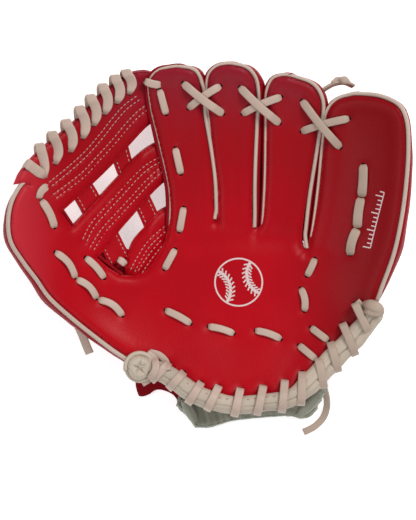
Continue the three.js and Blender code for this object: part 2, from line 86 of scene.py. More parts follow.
def area_light(name, where, power, colour):
    light = bpy.data.lights.new(name, "AREA")
    light.shape = "DISK"
    light.size = LIGHT_SIZE
    light.energy = power
    light.color = colour
    holder = bpy.data.objects.new(name, light)
    scene.collection.objects.link(holder)
    holder.location = where
    holder.rotation_euler = (LIT_POINT - Vector(where)).to_track_quat("-Z", "Y").to_euler()


area_light("key", (0.9, 1.0, 1.5), 26.0, (1.0, 0.985, 0.97))
area_light("fill", (-1.0, -0.2, 1.3), 5.0, (0.97, 0.98, 1.0))
area_light("front", (0.1, -1.3, 1.5), 6.0, (1, 1, 1))
world = bpy.data.worlds.new("studio")
scene.world = world
world.use_nodes = True
sky = world.node_tree.nodes["Background"].inputs
sky["Color"].default_value = (0.95, 0.97, 1.0, 1)
sky["Strength"].default_value = 0.42
scene.view_settings.view_transform = "Standard"
scene.view_settings.look = "None"

# ---- shape of the glove, the same as the frame's ----


def rise(distance, span, lift):
    return lift * (np.maximum(0.0, distance) / span) ** 2


def front(x, y):
    return (37 + rise(-x - 35, 110, 50) + rise(x - 62, 86, 32)
            + rise(y - 5, 128, 22) + rise(-y - 35, 75, 18))


def back(x, y):
    return rise(-x - 42, 104, 56) + rise(x - 72, 78, 24) + rise(y - 28, 106, 28)


def smoothstep(t):
    t = np.clip(t, 0, 1)
    return t * t * (3 - 2 * t)


def catmull(points, spacing):
    """Centripetal curve through points, resampled at an even spacing."""
    p = np.asarray(points, float)
    p = np.vstack([2 * p[0] - p[1], p, 2 * p[-1] - p[-2]])
    out = []
    for i in range(1, len(p) - 2):
        a, b, c, d = p[i - 1:i + 3]
        t0 = 0.0
        t1 = max(np.linalg.norm(b - a), 1e-6) ** 0.5
        t2 = t1 + max(np.linalg.norm(c - b), 1e-6) ** 0.5
        t3 = t2 + max(np.linalg.norm(d - c), 1e-6) ** 0.5
        t = np.linspace(t1, t2, 24, endpoint=False)[:, None]
        a1 = (t1 - t) / (t1 - t0) * a + (t - t0) / (t1 - t0) * b
        a2 = (t2 - t) / (t2 - t1) * b + (t - t1) / (t2 - t1) * c
        a3 = (t3 - t) / (t3 - t2) * c + (t - t2) / (t3 - t2) * d
        b1 = (t2 - t) / (t2 - t0) * a1 + (t - t0) / (t2 - t0) * a2
        b2 = (t3 - t) / (t3 - t1) * a2 + (t - t1) / (t3 - t1) * a3
        out.append((t2 - t) / (t2 - t1) * b1 + (t - t1) / (t2 - t1) * b2)
    out = np.vstack(out + [p[-2:-1]])
    return resample(out, spacing)


def run_of(points):
    """Distance of each point from the start, measured along the line."""
    return np.concatenate([[0], np.cumsum(np.linalg.norm(np.diff(points, axis=0), axis=1))])


def picked(points, where, wanted):
    """Points at the wanted positions, where their own positions are given."""
    return np.stack([np.interp(wanted, where, points[:, k]) for k in range(points.shape[1])], axis=1)


def resample(points, spacing):
    points = np.asarray(points, float)
    run = run_of(points)
    count = max(2, int(round(run[-1] / spacing)) + 1)
    return picked(points, run, np.linspace(0, run[-1], count))


def tangents(points):
    t = np.gradient(points, axis=0)
    return t / np.maximum(np.linalg.norm(t, axis=1, keepdims=True), 1e-9)


def leftward(plan):
    """Direction to the left of a plan curve at each point."""
    t = tangents(plan)
    return np.stack([-t[:, 1], t[:, 0]], axis=1)


def inward(plan, amount):
    """Moves a plan curve to its right-hand side by amount."""
    return plan - leftward(plan) * amount


EDGES = {
    "thumb": (
        [[-57, -83], [-69, -75], [-84, -63.5], [-98, -52], [-114, -37], [-123, -24], [-132.5, -11],
         [-141, 3], [-143, 15], [-141.4, 29], [-137.5, 38.5], [-132.5, 45.5], [-126, 46.5]],
        [[-64, -21.5], [-80, -9], [-88, -2], [-99.5, 14], [-107, 25], [-118, 38], [-126, 46]]),
    "index": (
        [[-28, 12], [-28, 40], [-36, 78], [-42, 104], [-43, 122], [-36, 130], [-22, 132.5]],
        [[6, 12], [5, 48], [2, 72], [-2, 95], [-4, 117], [-9, 129], [-22, 132.5]]),
    "middle": (
        [[8.5, 12], [8, 45], [5, 65], [2.5, 90], [0.5, 110], [2, 127], [9, 133], [18, 134]],
        [[34.5, 12], [34.5, 50], [36, 90], [37, 112], [35, 124], [29, 131], [18, 134]]),
    "ring": (
        [[41, 4], [42.8, 27], [44, 55], [44.4, 90], [45, 115], [50, 124], [60, 126]],
        [[71.5, 4], [75, 36], [79, 62], [83, 88], [85, 106], [79, 118], [60, 126]]),
    "little": (
        [[76, -8], [80, 14], [84, 46], [87, 78], [90, 100], [97, 108], [110, 111.5]],
        [[128, -31], [136.5, -7], [142, 18], [145.5, 45], [147, 72], [145.6, 92], [141, 102], [128, 109],
         [110, 111.5]]),
}
HEEL = [[128, -45], [112, -64], [92, -84], [76, -101], [62, -112], [43, -115], [24, -117],
        [8, -115], [-9, -109], [-30, -95], [-50, -88]]

# Lacing patterns: each pair is the two holes of one visible stitch.
PALM_STITCHES = [[[-30, -48], [-12, -57.5]], [[2, -60], [20, -65]], [[37, -63], [55, -69]]]
THUMB_ROW = [[[-111, -5], [-97, -23]], [[-95.5, -25], [-81.5, -38.5]], [[-79.5, -40], [-62.5, -51.5]]]
INDEX_ROW = [[[-34.5, 115], [-30, 98]], [[-23, 72], [-19, 54]], [[-17, 28], [-20, 11]],
             [[-23.5, -3], [-31, -17]]]
LITTLE_ROW = [[[116, 59.5], [115, 37]], [[114.3, 35], [111.8, 14]], [[111.5, 12], [106.5, -6]]]
SIDE_ROW = [[[80.5, -10], [75, -22]], [[70.5, -32], [73, -48]], [[78, -61], [90, -70]],
            [[69, -74], [81, -84]]]
WEB_UPPER = [[[-121, 33], [-112, 14]]]
WEB_LOWER = [[[-89, -9], [-76, -23.5]]]
CROSSES = {
    "index_middle": [[[-13, 102], [10, 118]], [[-17, 120], [12, 98]]],
    "middle_ring": [[[27, 98], [55, 110]], [[25, 117], [54, 91]]],
    "ring_little": [[[71, 85], [105, 94]], [[71, 107], [99, 73]]],
}
ALL_STITCHES = (PALM_STITCHES + THUMB_ROW + INDEX_ROW + LITTLE_ROW + SIDE_ROW + WEB_UPPER + WEB_LOWER
                + [s for pair in CROSSES.values() for s in pair])
HEEL_WRAPS = [[[110, -43], [119, -62]], [[101, -58], [110.5, -81]], [[92, -72], [98.5, -96]],
              [[83, -84], [88, -110]], [[71, -94], [70, -115]], [[58, -100], [56, -120]],
              [[42, -104], [38, -122]], [[25, -106], [21, -124]], [[9, -104], [0, -122]],
              [[-4, -101.5], [-14.5, -118]], [[-17, -94], [-31, -109]], [[-28, -87], [-43, -102.5]]]
HOLES = [np.array(p, float) for s in ALL_STITCHES for p in s] + [np.array(w[0], float) for w in HEEL_WRAPS]


def relief(x, y):
    """Soft unevenness of the palm leather: swell of the fingers, laces pulling in, old creases."""
    z = 0.5 * np.sin(x / 17.0 + 0.6) * np.sin(y / 23.0 + 1.1)
    z = z + 0.3 * np.sin((x + y) / 11.0) * np.sin((x - y) / 19.0)
    valley = 6.0 - 0.0028 * (x - 38.0) ** 2
    reach = np.exp(-((x - 38.0) / 62.0) ** 4)
    z = z - 1.7 * reach * np.exp(-((y - valley) / 8.5) ** 2)
    for fx, fy in ((7.4, 17.0), (36.4, 12.5), (73.5, -1.5)):
        z = z - 1.5 * np.exp(-(((x - fx) / 5.0) ** 2 + ((y - fy + 3.0) / 6.0) ** 2))
        z = z + 0.5 * np.exp(-(((x - fx - 0.4 * (y - fy)) / 2.0) ** 2 + ((y - fy + 6.0) / 7.0) ** 2))
    for hx, hy in HOLES:
        z = z - 0.9 * np.exp(-((x - hx) ** 2 + (y - hy) ** 2) / 14.0)
    return z


def skin(x, y):
    return front(x, y) + relief(x, y)


def skin_at(points):
    return skin(points[:, 0], points[:, 1])


def slopes(level, plan, h):
    """Steepness of level(plan points) along x and along y."""
    steps = h * np.eye(2)
    return [(level(plan + step) - level(plan - step)) / (2 * h) for step in steps]


# ---- materials ----


def material(name):
    m = bpy.data.materials.new(name)
    m.use_nodes = True
    return m, m.node_tree, m.node_tree.nodes["Principled BSDF"]


def fill(tree, target, inputs):
    """Sets the inputs of a node; each is a value or the output of another node."""
    for key, value in inputs.items():
        if isinstance(value, bpy.types.NodeSocket):
            tree.links.new(value, target.inputs[key])
        else:
            target.inputs[key].default_value = value


def add(tree, kind, inputs, output, **settings):
    """Adds a shader node and returns one of its outputs."""
    node = tree.nodes.new(kind)
    for key, value in settings.items():
        setattr(node, key, value)
    fill(tree, node, inputs)
    return node.outputs[output]


def blotches(tree, factor, low, high, deep, base):
    """Colour that runs from deep to base while factor runs from low to high."""
    ramp = tree.nodes.new("ShaderNodeValToRGB")
    fill(tree, ramp, {"Fac": factor})
    for k, (position, colour) in enumerate(((low, deep), (high, base))):
        ramp.color_ramp.elements[k].position = position
        ramp.color_ramp.elements[k].color = (*colour, 1)
    return ramp.outputs["Color"]


def bumps(tree, first, second, strength, distance):
    """Bumps from the sum of two patterns."""
    height = add(tree, "ShaderNodeMath", {0: first, 1: second}, 0, operation="ADD")
    return add(tree, "ShaderNodeBump", {"Strength": strength, "Distance": distance, "Height": height},
               "Normal")


def leather(name, base, deep, roughness, grain, size=900.0, gloss_level=0.3, tints=()):
    """Leather with pebbled grain, soft mottling and uneven gloss. Each tint is (axis, from, to, colour)."""
    m, tree, shader = material(name)
    place = add(tree, "ShaderNodeTexCoord", {}, "Object")
    cloud = add(tree, "ShaderNodeTexNoise", {"Vector": place, "Scale": 22.0, "Detail": 5.0}, "Fac")
    colour = blotches(tree, cloud, 0.28, 0.72, deep, base)
    for axis, low, high, tint in tints:
        along = add(tree, "ShaderNodeSeparateXYZ", {"Vector": place}, axis)
        reach = add(tree, "ShaderNodeMapRange", {"Value": along, "From Min": low, "From Max": high}, "Result",
                    interpolation_type="SMOOTHSTEP")
        colour = add(tree, "ShaderNodeMixRGB", {"Fac": reach, "Color1": colour, "Color2": (*tint, 1)},
                     "Color")
    pebble = add(tree, "ShaderNodeTexVoronoi", {"Vector": place, "Scale": size}, "Distance",
                 feature="SMOOTH_F1")
    pores = add(tree, "ShaderNodeTexNoise", {"Vector": place, "Scale": size * 0.45, "Detail": 6.0}, "Fac")
    gloss = add(tree, "ShaderNodeMapRange", {"Value": pores, "To Min": roughness - 0.07,
                                             "To Max": roughness + 0.09}, "Result")
    fill(tree, shader, {"Base Color": colour, "Normal": bumps(tree, pebble, pores, grain, 0.0006),
                        "Roughness": gloss, "Specular IOR Level": gloss_level})
    return m


# Colour tints of the red leather by object position: darker and duskier towards the finger tips and towards
# the little-finger side, partly the leather's own tone and partly painted shade; pink along the thumb rim, a
# painted highlight.
TONE_AND_PAINTED_LIGHT = (("Y", -0.005, 0.075, (0.310, 0.0025, 0.007)), ("Y", 0.07, 0.135, (0.235, 0.010, 0.020)),
        ("X", 0.04, 0.12, (0.225, 0.003, 0.006)), ("X", -0.105, -0.145, (0.46, 0.022, 0.034)))
SHADED = (("X", 0.02, 0.115, (0.40, 0.305, 0.24)),)
RED = leather("red_leather", (0.43, 0.002, 0.008), (0.37, 0.0015, 0.007), 0.36, 0.10, gloss_level=0.09,
              tints=TONE_AND_PAINTED_LIGHT)
DARK_RED = leather("back_leather", (0.27, 0.004, 0.010), (0.22, 0.003, 0.008), 0.50, 0.12, gloss_level=0.05)
LACE = leather("rawhide_lace", (0.53, 0.40, 0.33), (0.455, 0.34, 0.275), 0.50, 0.12, 700.0, tints=SHADED)
BINDING = leather("binding_leather", (0.53, 0.44, 0.35), (0.40, 0.335, 0.26), 0.52, 0.24, 600.0)
WELT = leather("welt_leather", (0.53, 0.42, 0.35), (0.45, 0.35, 0.29), 0.50, 0.12, 700.0)


def woven(name, base, deep, scale=2600.0):
    """Cloth or thread: a fine weave under some fuzz."""
    m, tree, shader = material(name)
    place = add(tree, "ShaderNodeTexCoord", {}, "Object")
    weave = add(tree, "ShaderNodeTexWave", {"Vector": place, "Scale": scale / 6.0, "Distortion": 1.5}, "Fac")
    fuzz = add(tree, "ShaderNodeTexNoise", {"Vector": place, "Scale": scale / 8.0, "Detail": 6.0}, "Fac")
    fill(tree, shader, {"Base Color": blotches(tree, fuzz, 0.32, 0.68, deep, base), "Roughness": 0.85,
                        "Normal": bumps(tree, weave, fuzz, 0.35, 0.0005), "Sheen Weight": 0.25})
    return m


# The pad felt is near black, partly the pads' own dark felt and partly painted shade, so the lace holes over
# the pads read dark.
FELT = woven("pad_felt", (0.050, 0.042, 0.040), (0.028, 0.022, 0.022))
LINING = woven("lining_cloth", (0.30, 0.33, 0.26), (0.20, 0.23, 0.18))
STRAP = leather("strap_leather", (0.34, 0.34, 0.265), (0.20, 0.205, 0.155), 0.40, 0.35, 420.0,
                gloss_level=0.4)
THREAD = woven("stitch_thread", (0.58, 0.34, 0.31), (0.48, 0.27, 0.25), 6000.0)
PRINT = woven("printed_ink", (0.74, 0.58, 0.56), (0.68, 0.52, 0.50), 9000.0)

# ---- mesh helpers ----


def make(name, vertices, faces, mat):
    mesh = bpy.data.meshes.new(name)
    mesh.from_pydata(metres(vertices).tolist(), [], [list(f) for f in faces])
    mesh.validate()
    mesh.update()
    mesh.polygons.foreach_set("use_smooth", [True] * len(mesh.polygons))
    mesh.materials.append(mat)
    obj = bpy.data.objects.new(name, mesh)
    scene.collection.objects.link(obj)
    return obj


def join(name, parts, mat):
    """One object from several (vertices, faces) lists."""
    vertices = []
    faces = []
    for v, f in parts:
        base = len(vertices)
        vertices.extend(np.asarray(v).tolist())
        faces.extend([[base + i for i in face] for face in f])
    return make(name, np.array(vertices), faces, mat)


def unit(vectors):
    return vectors / np.maximum(np.linalg.norm(vectors, axis=-1, keepdims=True), 1e-9)


def quads(rows, columns, ring=True, base=0, flip=False):
    """Faces between neighbouring rows of points; a ring also joins the last column to the first."""
    faces = []
    for i in range(rows - 1):
        for k in range(columns if ring else columns - 1):
            a = base + i * columns + k
            b = base + i * columns + (k + 1) % columns
            faces.append((a, b, b + columns, a + columns) if flip else (a, a + columns, b + columns, b))
    return faces


def sweep(path, across, width, thick, corner=0.45, narrowing=1.0):
    """Rounded strap along path; across is the strap's width direction, for all points or for each."""
    t = tangents(path)
    a = np.broadcast_to(np.asarray(across, float), path.shape)
    a = unit(a - t * np.sum(a * t, axis=1, keepdims=True))
    n = np.cross(t, a)
    r = thick * corner
    ring = []
    for right, up, start in ((1, 1, 0), (-1, 1, 90), (-1, -1, 180), (1, -1, 270)):
        for k in range(4):
            angle = math.radians(start + 30 * k)
            ring.append((right * (width / 2 - r) + r * math.cos(angle),
                         up * (thick / 2 - r) + r * math.sin(angle)))
    ring = np.array(ring)
    m = len(ring)
    wide = np.broadcast_to(np.asarray(narrowing, float), (len(path),))[:, None, None]
    vertices = (path[:, None, :] + a[:, None, :] * ring[None, :, 0:1] * wide
                + n[:, None, :] * ring[None, :, 1:2]).reshape(-1, 3)
    last = (len(path) - 1) * m
    ends = [tuple(range(m))[::-1], tuple(range(last, last + m))]
    return vertices, quads(len(path), m, flip=True) + ends


def bar(path, radius, sides=12, profile=None):
    """Round bar along path; profile(angle, share) scales its radius."""
    t = tangents(path)
    side = unit(np.cross(t, UP))
    lift = np.cross(side, t)
    angles = np.linspace(0, 2 * math.pi, sides, endpoint=False)
    rows = []
    for i in range(len(path)):
        r = radius * np.array([profile(a, i / (len(path) - 1)) for a in angles])
        rows.append(path[i] + np.outer(np.cos(angles) * r, side[i]) + np.outer(np.sin(angles) * r, lift[i]))
    last = (len(path) - 1) * sides
    ends = [tuple(range(sides)), tuple(range(last, last + sides))[::-1]]
    return np.vstack(rows), quads(len(path), sides) + ends


def blunt(share, end, power=1.0):
    """Swells from the ends of a bar to its middle; the first and last stretch stay as at end."""
    return math.sin(math.pi * min(max(share, end), 1 - end)) ** power


def inside(points, polygon):
    """Even-odd test of points against a closed polygon."""
    x, y = points[:, 0], points[:, 1]
    result = np.zeros(len(points), bool)
    px, py = polygon[:, 0], polygon[:, 1]
    qx, qy = np.roll(px, -1), np.roll(py, -1)
    for ax, ay, bx, by in zip(px, py, qx, qy):
        if ay == by:
            continue
        cross = (ay > y) != (by > y)
        result ^= cross & (x < (bx - ax) * (y - ay) / (by - ay) + ax)
    return result


def edge_distance(points, starts, ends):
    """Distance of each point to the nearest of the segments, and which segment that is."""
    best = np.full(len(points), 1e9)
    which = np.zeros(len(points), int)
    d = ends - starts
    length2 = np.maximum(np.sum(d * d, axis=1), 1e-9)
    for block in range(0, len(points), 2000):
        p = points[block:block + 2000, None, :] - starts[None, :, :]
        t = np.clip(np.sum(p * d[None], axis=2) / length2[None], 0, 1)
        gap = np.linalg.norm(p - t[..., None] * d[None], axis=2)
        which[block:block + 2000] = np.argmin(gap, axis=1)
        best[block:block + 2000] = np.min(gap, axis=1)
    return best, which


def hexagons(low, high, spacing):
    rows = []
    y = low[1]
    shift = 0
    while y < high[1]:
        xs = np.arange(low[0] + shift * spacing / 2, high[0], spacing)
        rows.append(np.stack([xs, np.full(len(xs), y)], axis=1))
        y += spacing * 0.866
        shift ^= 1
    return np.vstack(rows)


FINE = 1.6  # mesh spacing near the edges of a sheet
BAND = 7.0  # how far from an edge the fine mesh reaches
HOLE_RADIUS = 1.95


def sheet_mesh(outline, holes, height, rim, thickness, coarse):
    """Sheet of leather filling outline, with round lace holes. height(points, distance, segment) gives z.
    rim marks the outline segments that are real edges; the others are seams inside one leather."""
    outline = np.asarray(outline, float)
    nxt = np.roll(outline, -1, axis=0)
    real = np.asarray(rim, bool)
    starts, ends = outline[real], nxt[real]
    loops = [outline]
    kept = []
    for hole in holes:
        if not inside(hole[None], outline)[0]:
            continue
        if edge_distance(hole[None], outline, nxt)[0][0] < HOLE_RADIUS + 1.0:
            continue
        if any(np.linalg.norm(hole - other) < 2 * HOLE_RADIUS + 0.8 for other in kept):
            continue
        kept.append(hole)
        a = np.linspace(0, 2 * math.pi, 12, endpoint=False)
        loops.append(hole + HOLE_RADIUS * np.stack([np.cos(a), np.sin(a)], axis=1))
    low, high = outline.min(axis=0), outline.max(axis=0)
    near = hexagons(low, high, FINE)
    far = hexagons(low, high, coarse)
    loop_starts = np.vstack(loops)
    loop_ends = np.vstack([np.roll(loop, -1, axis=0) for loop in loops])
    d_near = edge_distance(near, loop_starts, loop_ends)[0]
    d_far = edge_distance(far, loop_starts, loop_ends)[0]
    near = near[(d_near > FINE * 0.55) & (d_near < BAND) & inside(near, outline)]
    far = far[(d_far >= BAND + 0.5) & inside(far, outline)]
    points = np.vstack(loops + [near, far])
    edges = []
    base = 0
    for loop in loops:
        n = len(loop)
        edges.extend([(base + i, base + (i + 1) % n) for i in range(n)])
        base += n
    verts, _, faces, *_ = delaunay_2d_cdt([Vector(p) for p in points], edges, [], 0, 1e-5)
    plan = np.array([[v.x, v.y] for v in verts])
    faces = np.array([f for f in faces if len(f) == 3])
    centres = plan[faces].mean(axis=1)
    keep = inside(centres, outline)
    for loop in loops[1:]:
        keep &= ~inside(centres, loop)
    faces = faces[keep]
    used = np.unique(faces)
    remap = -np.ones(len(plan), int)
    remap[used] = np.arange(len(used))
    plan = plan[used]
    faces = remap[faces]
    a, b, c = plan[faces[:, 0]], plan[faces[:, 1]], plan[faces[:, 2]]
    turn = (b[:, 0] - a[:, 0]) * (c[:, 1] - a[:, 1]) - (b[:, 1] - a[:, 1]) * (c[:, 0] - a[:, 0])
    faces[turn < 0] = faces[turn < 0][:, ::-1]

    def surface(p):
        d, k = edge_distance(p, starts, ends)
        return height(p, d, k)

    gx, gy = slopes(surface, plan, 0.35)
    normal = unit(np.stack([-gx, -gy, np.ones(len(plan))], axis=1))
    top = np.column_stack([plan, surface(plan)])
    flatter = normal.copy()
    flatter[:, 2] = np.maximum(flatter[:, 2], 0.6)
    under = top - unit(flatter) * thickness
    n = len(plan)
    sides = {(f[i], f[(i + 1) % 3]) for f in faces for i in range(3)}
    border = sorted(key for key in sides if (key[1], key[0]) not in sides)
    all_faces = [tuple(f) for f in faces] + [tuple(n + f[::-1]) for f in faces]
    all_faces += [(j, i, n + i, n + j) for i, j in border]
    normals = np.vstack([normal, -normal])
    return np.vstack([top, under]), all_faces, len(faces), normals


def leather_sheet(name, outline, holes, height, rim, thickness, mat, coarse=3.2):
    vertices, faces, tops, normals = sheet_mesh(outline, holes, height, rim, thickness, coarse)
    obj = make(name, vertices, faces, mat)
    mesh = obj.data
    loops = []
    for poly in mesh.polygons:
        flat = poly.index >= 2 * tops
        for v in poly.vertices:
            loops.append(tuple(poly.normal) if flat else tuple(normals[v]))
    mesh.normals_split_custom_set(loops)
    return obj


def dress(obj, slot, side, *nodes):
    """Material slot (not used), body, and the CAD nodes that the piece stands for; a piece on the thumb or
    little side is only baked in place and joins no body.
    """
    if nodes:
        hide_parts(*nodes)
    if side == "thumb":
        at(-34, 0, 50)
        at(-60, 0, 50)
        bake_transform(obj)
    elif side == "little":
        at(65.5, -7.8, 55)
        at(83.4, -10.0, 55)
        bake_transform(obj)
    else:
        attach(obj, side)
    return obj


# ---- loose end of the heel lace ----

TAIL = [[88, -106, 20], [90, -113, 13], [90.5, -121, 5], [88, -129, 1.3], [81, -136, 1.3], [73, -140, 1.3]]
tail_path = catmull(TAIL, 1.4)
tail = make("heel_lace_tail_visual", *sweep(tail_path, [1.0, -0.4, 0.0], 5.2, 1.9), LACE)
dress(tail, "lace", "palm", "heel_lace_tail")
tail_length = float(run_of(tail_path)[-1]) / 1000
at(*TAIL[0])
[tuple(p) for p in metres(tail_path)]

# ---- palm leather ----

ROLL_OFF = 5.5


def turned_down(distance, radius, drop):
    """How far a sheet has turned down at a distance from its edge."""
    s = np.clip(distance / radius, 0, 1)
    return drop * (1 - np.sqrt(1 - (1 - s) ** 2))


def rolled(points, distance, segment):
    """The outer face of the palm leather, turning down along its free edges."""
    fullness = 0.5 * np.exp(-((distance - 8) / 4.5) ** 2)
    return skin_at(points) - turned_down(distance, ROLL_OFF, 4.2) + fullness


def edge(name, side, spacing=2.0):
    return catmull(EDGES[name][side], spacing)


def chain(*runs):
    """One closed outline from runs of (points, is a real edge); near-double points are dropped."""
    points = []
    real = []
    for run, is_edge in runs:
        for p in np.asarray(run, float):
            if points and np.linalg.norm(points[-1] - p) < 0.5:
                real[-1] = is_edge
                continue
            points.append(p)
            real.append(is_edge)
    if np.linalg.norm(points[0] - points[-1]) < 0.5:
        points.pop()
        real.pop()
    return np.array(points), np.array(real)


heel_line = catmull([h + [0] for h in HEEL], 2.0)[:, :2]
heel_rim = inward(heel_line, 4.0)
LEFT_SPLIT = resample([[-31, 4], [-27, -12], [-26, -40], [-25, -70], [-22, -98]], 3.0)
RIGHT_SPLIT = resample([[73.5, -1.5], [64, -2.5], [57, -10], [52, -40], [48, -75], [45, -109]], 3.0)
WEB_FOOT = catmull([[-64, -21.5], [-58, -22], [-53, -22], [-46, -19], [-41, -14], [-35, -4], [-31, 4]], 2.0)
INDEX_FOOT = catmull([[-31, 4], [-28.5, 14], [-27.2, 26], [-28, 40]], 2.0)
SLIT_IM = catmull([[5.2, 34], [6, 26], [6.6, 20], [7.2, 17.5], [8.0, 19], [8.3, 26], [8.2, 36]], 1.5)
SLIT_MR = catmull([[34.2, 34], [34.2, 24], [34.8, 17], [37.2, 13.6], [40.2, 15.5], [42, 22], [43, 34]], 1.5)
SLIT_RL = catmull([[74.6, 34], [72.6, 20], [71.4, 6], [72.2, 0], [73.5, -1.5]], 1.5)
SLIT_RL_RIGHT = catmull([[73.5, -1.5], [75.6, 0], [77.6, 8], [80.2, 20], [82.6, 34]], 1.5)


def upper(name, side, above):
    c = edge(name, side)
    return c[c[:, 1] > above]


centre_outline, centre_real = chain(
    (LEFT_SPLIT[::-1], False),
    (INDEX_FOOT, True), (upper("index", 0, 41), True), (upper("index", 1, 35)[::-1], True), (SLIT_IM, True),
    (upper("middle", 0, 37), True), (upper("middle", 1, 35)[::-1], True), (SLIT_MR, True),
    (upper("ring", 0, 35), True), (upper("ring", 1, 35)[::-1], True), (SLIT_RL, True),
    (RIGHT_SPLIT, False),
    (heel_rim[(heel_rim[:, 0] < 44) & (heel_rim[:, 0] > -21)], True))
TOP_JOIN = resample([[-130, 45.5], [-118, 37], [-107, 25]], 2.5)
WINDOW_EDGE = resample([[-107, 25], [-99.5, 14]], 2.0)
MIDDLE_JOIN = resample([[-99.5, 14], [-90, 0], [-81, -8.5]], 2.5)
THUMB_FOOT = catmull([[-81, -8.5], [-74, -15], [-64, -21.5]], 2.0)
left_outline, left_real = chain(
    (LEFT_SPLIT, False),
    (heel_rim[heel_rim[:, 0] < -23.5], True),
    (edge("thumb", 0)[:-4], True), (TOP_JOIN, False), (WINDOW_EDGE, True), (MIDDLE_JOIN, False),
    (THUMB_FOOT, True), (WEB_FOOT, True))
right_outline, right_real = chain(
    (RIGHT_SPLIT[::-1], False),
    (SLIT_RL_RIGHT, True), (upper("little", 0, 35), True), (edge("little", 1)[::-1], True),
    (heel_rim[heel_rim[:, 0] > 46], True))

for piece, (outline, real), side, node in (
        ("palm_leather", (centre_outline, centre_real), "palm", "palm_front"),
        ("thumb_leather", (left_outline, left_real), "thumb", "thumb_front"),
        ("little_finger_leather", (right_outline, right_real), "little", "little_front")):
    dress(leather_sheet(piece, outline, HOLES, rolled, real, 2.8, RED), "palm_leather", side, node)

# ---- basket web ----

INDEX_SIDE = edge("index", 0)
WRAP_ENDS = [[[-119, 51], [-131, 60]], [[-119, 51], [-122, 73]], [[-111, 61], [-113, 82]],
             [[-100, 70], [-103, 91]], [[-91, 80], [-93, 101]], [[-83, 89.5], [-85, 109.5]],
             [[-75, 98], [-76, 117.5]], [[-66, 106], [-67, 124]], [[-57, 113], [-59, 128]]]


def tuck(points):
    """The web dips under the side of the index finger."""
    d = edge_distance(points, INDEX_SIDE[:-1], INDEX_SIDE[1:])[0]
    covered = points[:, 0] > np.interp(points[:, 1], INDEX_SIDE[:, 1], INDEX_SIDE[:, 0])
    return np.where(covered, 6.0, 6.0 * smoothstep(1 - d / 16.0))


def offset_row(points, amount):
    return inward(catmull(points, 1.0), amount)


ROWS = {
    "web_top_band": [[[-117, 45.8], [-104, 56.7], [-90.5, 69.1], [-80.1, 81.1], [-69.8, 94.1], [-61.5, 103.4],
                      [-51, 111.5]],
                     [[-114, 37], [-103, 45.3], [-91.6, 54.6], [-81.2, 66], [-69.8, 78.5], [-59.4, 90.9],
                      [-49, 101.3], [-42, 106]]],
    "web_middle_band": [[[-92.1, 3.7], [-86.4, 15.2], [-76, 27.6], [-63.6, 41.1], [-53.2, 52.5],
                         [-43.8, 60.8], [-33, 67]],
                        [[-87, -2.4], [-78, 12], [-67.7, 23.5], [-56.3, 36], [-45.9, 47.4], [-37.6, 55.6],
                         [-31, 60.5]]],
    "web_bottom_band": [[[-57, -19], [-52.2, -9.8], [-44.8, 1.7], [-36.6, 10], [-28.5, 16.5]],
                        [[-51.5, -19.5], [-46, -11], [-40, -3], [-34, 4], [-28, 10]]],
}
row_lines = {name: [line for row in rows for line in (offset_row(row, 0), offset_row(row, 3.4))]
             for name, rows in ROWS.items()}


def band_height(name, lift):
    starts = np.vstack([line[:-1] for line in row_lines[name]])
    ends = np.vstack([line[1:] for line in row_lines[name]])

    def height(points, distance, segment):
        z = rolled(points, distance, segment) + lift(points) - tuck(points)
        return z - 0.55 * np.exp(-(edge_distance(points, starts, ends)[0] / 0.9) ** 2)
    return height


def no_lift(points):
    return 0.0


top_outline, top_real = chain(
    (catmull([[-139.5, 45.5], [-136.5, 52.5], [-130.5, 61], [-119, 73], [-106, 84], [-96, 93], [-87, 103],
              [-78, 112.5], [-70, 119], [-60, 125.5], [-48, 129], [-38, 128]], 2.0), True),
    (resample([[-38, 128], [-34, 112], [-31, 95]], 3.0), True),
    (catmull([[-31, 95], [-41, 91], [-55, 77], [-66.7, 63.5], [-80, 50], [-94, 37], [-107, 25]], 2.0), True),
    (TOP_JOIN[::-1], False),
    (resample([[-130, 44.5], [-139.5, 45.5]], 2.0), True))
middle_outline, middle_real = chain(
    (catmull([[-99.5, 14], [-88, 27], [-76.6, 39.6], [-64, 53.5], [-53.2, 66], [-44, 73], [-33, 80]], 2.0),
     True),
    (resample([[-33, 80], [-24, 66], [-22, 52]], 3.0), True),
    (catmull([[-22, 52], [-30, 48.5], [-41.8, 37.5], [-55.3, 21.9], [-64.6, 11.1], [-71, 2],
              [-81, -8.5]], 2.0), True),
    (MIDDLE_JOIN[::-1], False))
bottom_outline, bottom_real = chain(
    (catmull([[-61, -22], [-60, -12], [-55, 3], [-46, 14.5], [-36, 25], [-26, 32]], 2.0), True),
    (resample([[-26, 32], [-22, 18], [-24, 2]], 3.0), True),
    (catmull([[-24, 2], [-33, -8], [-41, -18], [-48, -24], [-55, -25.5], [-61, -22]], 2.0), True))


def foot_drop(points):
    """The bottom band slips under the palm leather at the foot of the web."""
    d = edge_distance(points, WEB_FOOT[:-1], WEB_FOOT[1:])[0]
    below = inside(points, left_outline)
    return -np.where(below, 4.5, 4.5 * smoothstep(1 - d / 7.0)) - 0.5


BANDS = {
    "web_top_band": (top_outline, top_real, no_lift, [np.array(w[0], float) for w in WRAP_ENDS[1:]]),
    "web_middle_band": (middle_outline, middle_real, no_lift, []),
    "web_bottom_band": (bottom_outline, bottom_real, foot_drop, []),
}
for piece, (outline, real, lift, holes) in BANDS.items():
    obj = leather_sheet(piece + "_leather", outline, holes, band_height(piece, lift), real, 3.0, RED,
                        coarse=2.4)
    dress(obj, "palm_leather", "thumb", piece)


def dashes(line, length, gap, radius, lift):
    """Stitches along a plan line; lift(points) gives the height of the leather under them."""
    line = resample(line, 0.25)
    run = run_of(line)
    parts = []
    start = gap
    while start + length < run[-1]:
        p = picked(line, run, np.linspace(start, start + length, 5))
        z = lift(p) + radius * np.array([-0.9, 0.25, 0.5, 0.25, -0.9])
        parts.append(bar(np.column_stack([p, z]), radius, 6, lambda a, u: 0.35 + 0.65 * blunt(u, 0.12, 0.5)))
        start += length + gap
    return parts


